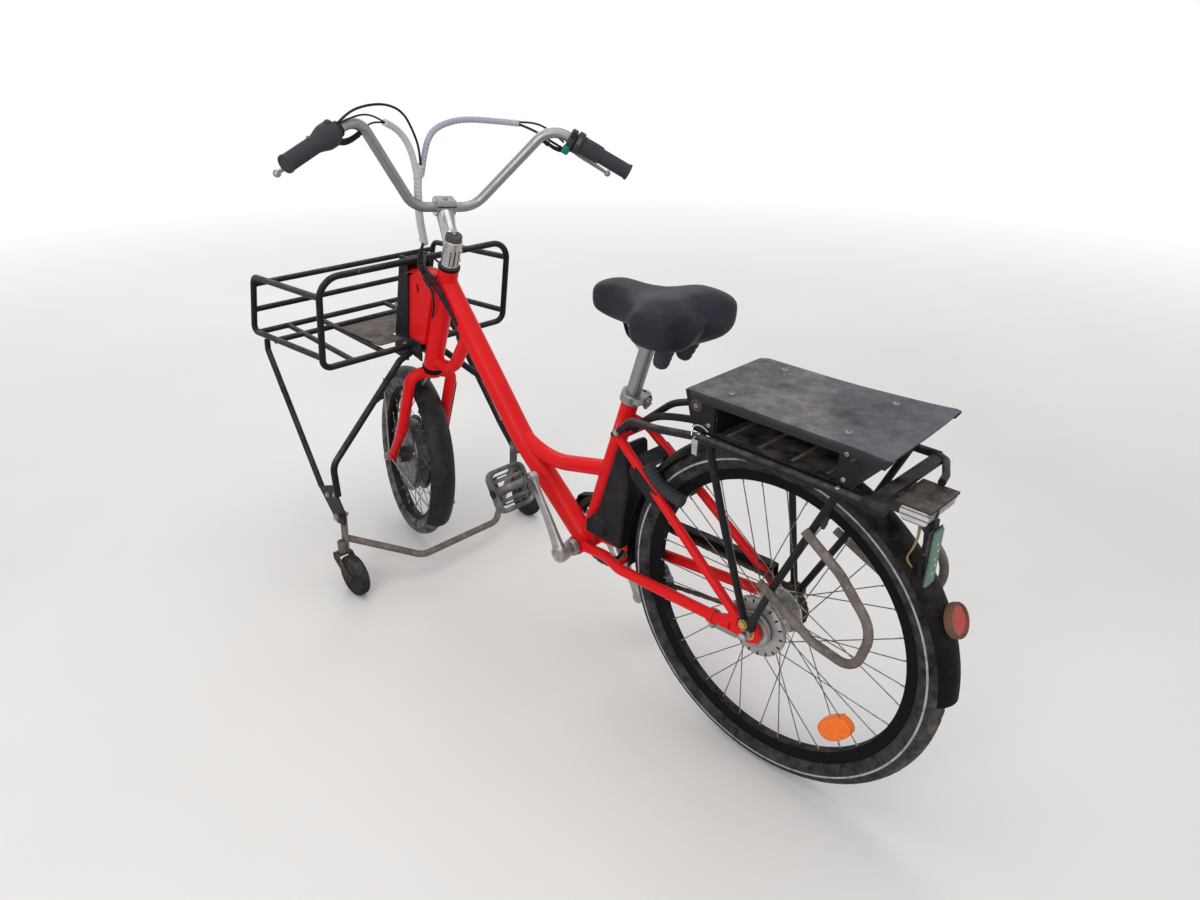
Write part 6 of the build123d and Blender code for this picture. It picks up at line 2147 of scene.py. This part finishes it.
@dataclass
class LampRemains:
    """What is left of the rear lamp: torn holder, wires, trims and the reflector's bezel."""

    def build(self) -> None:
        """Builds the remains."""
        parts = []
        torn = mm(4, 640, 37, 640, 39, 626, 36, 612, 38, 600, 33, 588, 35, 566, 31, 552, 29, 590, 26, 600,
            14, 604, 9, 596, 5, 612, 2, 624)
        parts.append(slab("holder", torn, Vector((-0.2620, 0, 0)), LEFT, SKY, 0.0060, "black_plastic",
            0.0008))
        back = mm(5, 545, 36.5, 545, 36.5, 634, 5, 634)
        parts.append(slab("backing", back, Vector((-0.2682, 0, 0)), LEFT, SKY, 0.0020, "castor_rubber",
            0.0006))
        for index in range(5):
            place = Vector((-0.2722, 0.020 + 0.003 * (-1) ** index, 0.560 + 0.0125 * index))
            chip = mm(-1.8, -1.8, 1.8, -1.8, 1.8, 1.8, -1.8, 1.8)
            parts.append(slab("chip", chip, place, Vector((0, -1, 0)), SKY, 0.0008, "pale_tie", 0.0002))
        for shift, rise in ((0.0, 0.0), (0.006, 0.004)):
            route = [Vector((-0.246, 0.030 + shift, 0.640)), Vector((-0.254, 0.046 + shift, 0.628 - rise)),
                Vector((-0.250, 0.050 + shift, 0.604)), Vector((-0.238, 0.044, 0.582 - rise)),
                Vector((-0.247, 0.036, 0.566))]
            parts.append(cord("wire", route, 0.003, 0.0012, "brown_wire", 8))
        route = [Vector((-0.2480, 0.034, 0.566)), Vector((-0.240, 0.036, 0.548)),
            Vector((-0.252, 0.033, 0.530))]
        parts.append(cord("wire_end", route, 0.003, 0.0015, "black_plastic", 8))
        for ridge in (-0.0015, 0.0035, 0.0085):
            route = [Vector((-0.2605 - ridge * 0.2, -0.0415, 0.651 + ridge)),
                Vector((-0.2605 - ridge * 0.2, 0.0415, 0.651 + ridge))]
            parts.append(swept("trough_ridge", evenly(route, 0.01), "bright_chrome",
                lambda _along, _angle: 0.0010, 8))
        knob = mm(0, -22, 9.8, -22, 11, -16, 9.8, -8, 11.2, -2, 10.8, 10, 8, 14, 0, 15)
        parts.append(lathe("rail_end", knob, Vector((-0.213, 0.1075, 0.681)), Vector((-1, 0, 0)),
            "black_plastic", 24))
        hand_in("lamp_remains", parts, 38, Body.FRAME)
        angle = math.radians(153)
        out = Vector((math.cos(angle), 0, math.sin(angle)))
        face = REAR_AXLE + out * (0.341 + 0.0148)
        bezel = mm(22.8, -9, 26.8, -8.8, 27.6, -7, 27.6, 0.6, 26.2, 2.6, 23.5, 2.8, 22.8, 1.2)
        ring = turned_ring("bezel", bezel, face, out, "brown_bezel", 56)
        seat(shaded(ring, 40), Body.FRAME)


@dataclass
class HubDetails:
    """Brake cover, nuts, washers and bands at the rear axle."""

    def build(self) -> None:
        """Builds the details."""
        parts = []
        cover = mm(12.5, 56, 20, 58.5, 28, 58.8, 33, 57.5, 34.6, 55, 34.6, 50.5, 30, 50, 12.5, 50)
        parts.append(turned_ring("cover", cover, REAR_AXLE, LEFT, "forged_alloy", 64))
        drum = mm(35, 47, 44, 47.2, 50, 48, 55.6, 47.4, 57.4, 46.2, 57.4, 44.8, 35, 44.8)
        wheel = [turned_ring("drum_face", drum, REAR_AXLE, LEFT, "forged_alloy", 72)]
        slot = lathe("slot", mm(0, -4, 1.6, -3.4, 1.8, 0, 1.6, 3.4, 0, 4), Vector(), SKY, "dusty_black", 8)
        spots = []
        for angle in around(18):
            way = Vector((math.cos(angle), 0, math.sin(angle)))
            spots.append((Vector((0, 0.0474, 0.326)) + way * 0.0525, frame_of(way)))
        wheel.append(Repeat(slot, "dusty_black").at("slots", spots))
        wheel.append(lathe("barrel", mm(0, -49, 20.5, -49, 20.5, -30, 16.5, -24, 16.5, 22, 40, 26.2, 40.8, 30,
            40, 34, 0, 34), REAR_AXLE, LEFT, "forged_alloy", 48))
        hand_in("drum_details", wheel, 38, Body.REAR_WHEEL)
        washer = mm(5.2, 0, 13.2, 0, 14, 0.8, 13.6, 1.8, 5.2, 2.2)
        parts.append(turned_ring("washer", washer, Vector((0, 0.0696, 0.326)), LEFT, "gold_washer", 36))
        nut = mm(0, 0, 9.6, 0, 9.8, 7, 8.2, 8.5, 8, 12.5, 6.6, 16, 3.6, 18, 0, 18.4)
        parts.append(lathe("acorn", nut, Vector((0, 0.0718, 0.326)), LEFT, "bright_chrome", 6))
        hand_in("axle_details", parts, 32, Body.FRAME)
        band = []
        way = (Vector((0.040, 0.064, 0.318)) - Vector((0.331, 0.050, 0.290))).normalized()
        for x in (0.080, 0.086):
            share = (0.331 - x) / 0.291
            centre = Vector((x, 0.050 + 0.014 * share, 0.290 + 0.028 * share))
            ring = mm(11, -3.2, 14, -3.2, 14.3, 0, 14, 3.2, 11, 3.2)
            band.append(turned_ring("band", ring, centre, way, "red_paint", 36))
        hand_in("brake_strap", band, 38, Body.FRAME)
        bolts = Fasteners("hub_bolts", Body.FRAME)
        bolts.put(Fitting.HEX, 0.0048, "zinc_steel", [(0.0835, 0.0630, 0.2970)], (0, 1, 0))
        bolts.put(Fitting.NUT, 0.0042, "zinc_steel", [(0.0840, 0.0602, 0.2905)], (0, 0, -1))
        bolts.put(Fitting.PAN, 0.0034, "zinc_steel", [(0.0245, 0.0588, 0.3262), (-0.0120, 0.0588, 0.3475),
            (-0.0125, 0.0588, 0.3050)], (0, 1, 0))
        bolts.put(Fitting.NUT, 0.0085, "zinc_steel", [(0.0, -0.0770, 0.326)], (0, -1, 0))
        bolts.build()


@dataclass
class LockBoot:
    """Corrugated boot that follows the tyre below the ring lock, and the hose above it."""

    def build(self) -> None:
        """Builds the boot and the hose."""
        route = [(0.270, 0.041, 0.546), (0.254, 0.041, 0.523), (0.226, 0.041, 0.508), (0.184, 0.041, 0.501)]
        path = evenly(line_of(route), 0.0016)

        def section(along: float, _angle: float) -> float:
            """Radius of the boot with its folds."""
            return 0.0122 + 0.0016 * math.sin(2 * math.pi * along / 0.0092)

        parts = [swept("boot", path, "grip_rubber", section, 20)]
        points = [(0.330, 0.016, 0.588), (0.316, 0.018, 0.606), (0.292, 0.020, 0.624), (0.258, 0.026, 0.643),
            (0.205, 0.034, 0.660), (0.150, 0.040, 0.672)]
        parts.append(cord("hose", points, 0.004, 0.0068, "black_plastic", 14))
        hand_in("lock_boot", parts, 50, Body.FRAME)


@dataclass
class Studio:
    """Camera, floor and soft light."""

    lens: float = 26.328
    place: Vector = Vector((-0.685439, 1.122304, 1.2886))
    pitch: float = 0.460019
    roll: float = -0.0052518
    yaw: float = -0.785477

    def camera(self) -> None:
        """Makes the camera at the photograph's angle."""
        ahead = Vector((math.cos(self.yaw), math.sin(self.yaw), 0.0))
        look = ahead * math.cos(self.pitch) - Vector((0, 0, math.sin(self.pitch)))
        right = Vector((math.sin(self.yaw), -math.cos(self.yaw), 0.0))
        down = look.cross(right)
        c, s = math.cos(self.roll), math.sin(self.roll)
        across, drop = right * c + down * s, down * c - right * s
        data = bpy.data.cameras.new("view")
        data.lens = self.lens
        data.sensor_width = 36.0
        data.clip_start, data.clip_end = 0.05, 900.0
        holder = bpy.data.objects.new("view", data)
        turn = Matrix((across, -drop, -look)).transposed()
        holder.matrix_world = Matrix.Translation(self.place) @ turn.to_4x4()
        bpy.context.scene.collection.objects.link(holder)
        bpy.context.scene.camera = holder

    def floor(self) -> None:
        """Makes the plain pale floor, which fades to the white background further out."""
        g = Graph("pale_floor")
        shade = g.step(g.grain(0.8, 3.0), 0.3, 0.7)
        g.close(Base_Color=g.blend(shade, (0.68, 0.655, 0.63), (0.73, 0.71, 0.685)), Roughness=0.8,
            Specular_IOR_Level=0.2)
        far = g.step(g.away(Vector((0.45, 0.0, 0.0)), SKY), 1.6, 5.5)
        white = g.node("ShaderNodeEmission", {"Color": (1.0, 1.0, 1.0, 1.0), "Strength": 1.0})
        share = g.maths("MULTIPLY", far, to_eye(g.material.node_tree))
        faded = g.node("ShaderNodeMixShader", {0: share, 1: g.shader.outputs[0], 2: white.outputs[0]})
        g.links.new(faded.outputs[0], g.output.inputs[0])
        side = 400.0
        ground = mesh_piece("floor", [(-side, -side, 0), (side, -side, 0), (side, side, 0), (-side, side, 0)],
            [(0, 1, 2, 3)], "pale_floor", False)

    def light(self) -> None:
        """Makes the even sky and three large soft lamps."""
        world = bpy.data.worlds.new("sky")
        bpy.context.scene.world = world
        world.use_nodes = True
        nodes, links = world.node_tree.nodes, world.node_tree.links
        back = nodes["Background"]
        back.inputs["Color"].default_value = (0.92, 0.94, 0.97, 1.0)
        back.inputs["Strength"].default_value = 0.80
        seen = nodes.new("ShaderNodeBackground")
        seen.inputs["Color"].default_value = (1.0, 1.0, 1.0, 1.0)
        mix = nodes.new("ShaderNodeMixShader")
        links.new(to_eye(world.node_tree), mix.inputs[0])
        links.new(back.outputs[0], mix.inputs[1])
        links.new(seen.outputs[0], mix.inputs[2])
        links.new(mix.outputs[0], nodes["World Output"].inputs[0])
        lamps = (
            # name, place, power, size
            ("overhead", (0.3, 0.2, 3.6), 32.0, 3.2),
            ("left_fill", (-0.8, 3.2, 2.2), 46.0, 2.4),
            ("front_rim", (3.4, -1.2, 2.6), 24.0, 2.0),
        )
        for name, place, power, size in lamps:
            data = bpy.data.lights.new(name, "AREA")
            data.energy = power
            data.shape = "DISK"
            data.size = size
            holder = bpy.data.objects.new(name, data)
            aim = Vector((0.5, 0.0, 0.5)) - Vector(place)
            turn = aim.to_track_quat("-Z", "Y").to_matrix().to_4x4()
            holder.matrix_world = Matrix.Translation(place) @ turn
            bpy.context.scene.collection.objects.link(holder)

    def build(self) -> None:
        """Builds the whole studio."""
        bpy.context.scene.view_settings.view_transform = "Standard"
        self.camera()
        self.floor()
        self.light()


def dress_frame(frame: dict[str, Any]) -> None:
    """Gives every CAD node its finish.
    """
    for finish in FINISHES:
        finish.build()
    for finish_name, nodes in NODE_FINISH.items():
        for node in nodes.split():
            data = frame["nodes"][node].data
            if not data.materials:
                data.materials.append(None)
            for index in range(len(data.materials)):
                data.materials[index] = MADE[finish_name]


KNEE = Vector((0.678, 0, 0.446))
SEAT_GUSSET = Vector((0.585, 0, 0.424))
LOWER_BRACE = Vector((0.935, 0, 0.527))
RED_SEAMS = (
    WeldSeam(KNEE, HEAD_BOTTOM + UP * 0.233 - KNEE, 0.025, HEAD_BOTTOM, UP, 0.023),
    WeldSeam(SEAT_GUSSET, Vector((0.412 - 0.585, 0, 0.470 - 0.424)), 0.017, BRACKET,
        Vector((0.351 - 0.474, 0, 0.6474 - 0.274)), 0.017),
    WeldSeam(BRACKET + Vector((-0.123, 0, 0.3734)), Vector((0.123, 0, -0.3734)), 0.017, BRACKET, LEFT, 0.021),
    WeldSeam(KNEE, BRACKET - KNEE, 0.025, BRACKET, LEFT, 0.021),
    WeldSeam(LOWER_BRACE, HEAD_BOTTOM + UP * 0.024 - LOWER_BRACE, 0.015, HEAD_BOTTOM, UP, 0.023),
)


def rack_seams() -> list[WeldSeam]:
    """Returns the seams where the bars of the two racks meet."""
    seams = []
    floor_way = Vector((1.368 - 1.059, 0, 0.5855 - 0.573))
    for y in (0.180, 0.098, -0.098, -0.180):
        foot, end = Vector((1.059, y, 0.573)), Vector((1.368, y, 0.5855))
        seams.append(WeldSeam(end, foot - end, 0.0065, foot, LEFT, 0.0075))
        seams.append(WeldSeam(foot, floor_way, 0.0065, end, LEFT, 0.0069))
    for x, z in ((1.3516, 0.709), (1.3738, 0.6414), (1.368, 0.5855), (1.290, 0.5823)):
        for flank in (1, -1):
            way = Vector((1.345 - 1.393, 0, 0.729 - 0.583))
            if x in (1.290, 1.368):
                way = Vector((1.393 - 1.057, 0, 0.583 - 0.600))
            near = Vector((x, flank * 0.258, z))
            seams.append(WeldSeam(Vector((x, 0, z)), Vector((0, flank, 0)), 0.0069, near, way, 0.0072))
    return seams


def main() -> None:
    """Builds every piece in order."""
    logging.basicConfig(level=logging.INFO, format="%(name)s %(message)s")
    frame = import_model()
    Studio().build()
    dress_frame(frame)
    front = steered(FRONT_AXLE)
    Tyre("rear_tyre_dressed", "rear_tyre", Body.REAR_WHEEL, REAR_AXLE, LEFT, 0.326, 0.0235, 0.286, 0.0125,
        "rear_rubber", 90).build()
    Tyre("front_tyre_dressed", "front_tyre", Body.FRONT_WHEEL, front, FRONT_AXIS, 0.220, 0.0225, 0.184,
        0.0125, "front_rubber", 60).build()
    Spoking("rear_wheel", Body.REAR_WHEEL, REAR_AXLE, LEFT, 0.262).build()
    Spoking("front_wheel", Body.FRONT_WHEEL, front, FRONT_AXIS, 0.170, hub_bolts=(0.079, 0.0242)).build()
    SpokeReflector().build()
    HubDetails().build()
    DriveChain().build()
    Cranks().build()
    Pedal("left", Body.LEFT_PEDAL, 1).build()
    Pedal("right", Body.RIGHT_PEDAL, -1).build()
    controls = [*BarEnd(1).build(), *BarEnd(-1).build()]
    BarCables().build(controls)
    Quill().build()
    HeadLeads().build()
    Shield().build()
    StandDetails().build()
    RackDeck().build()
    BatteryBay().build()
    LampRemains().build()
    LockBoot().build()
    Welds("frame_welds", "red_paint", "red_paint", RED_SEAMS).build()
    Welds("rack_welds", "black_paint", "black_paint", rack_seams(), 0.0013).build()
    SeatClamp().build()
    Saddle().build()


if __name__ == "__main__":
    main()
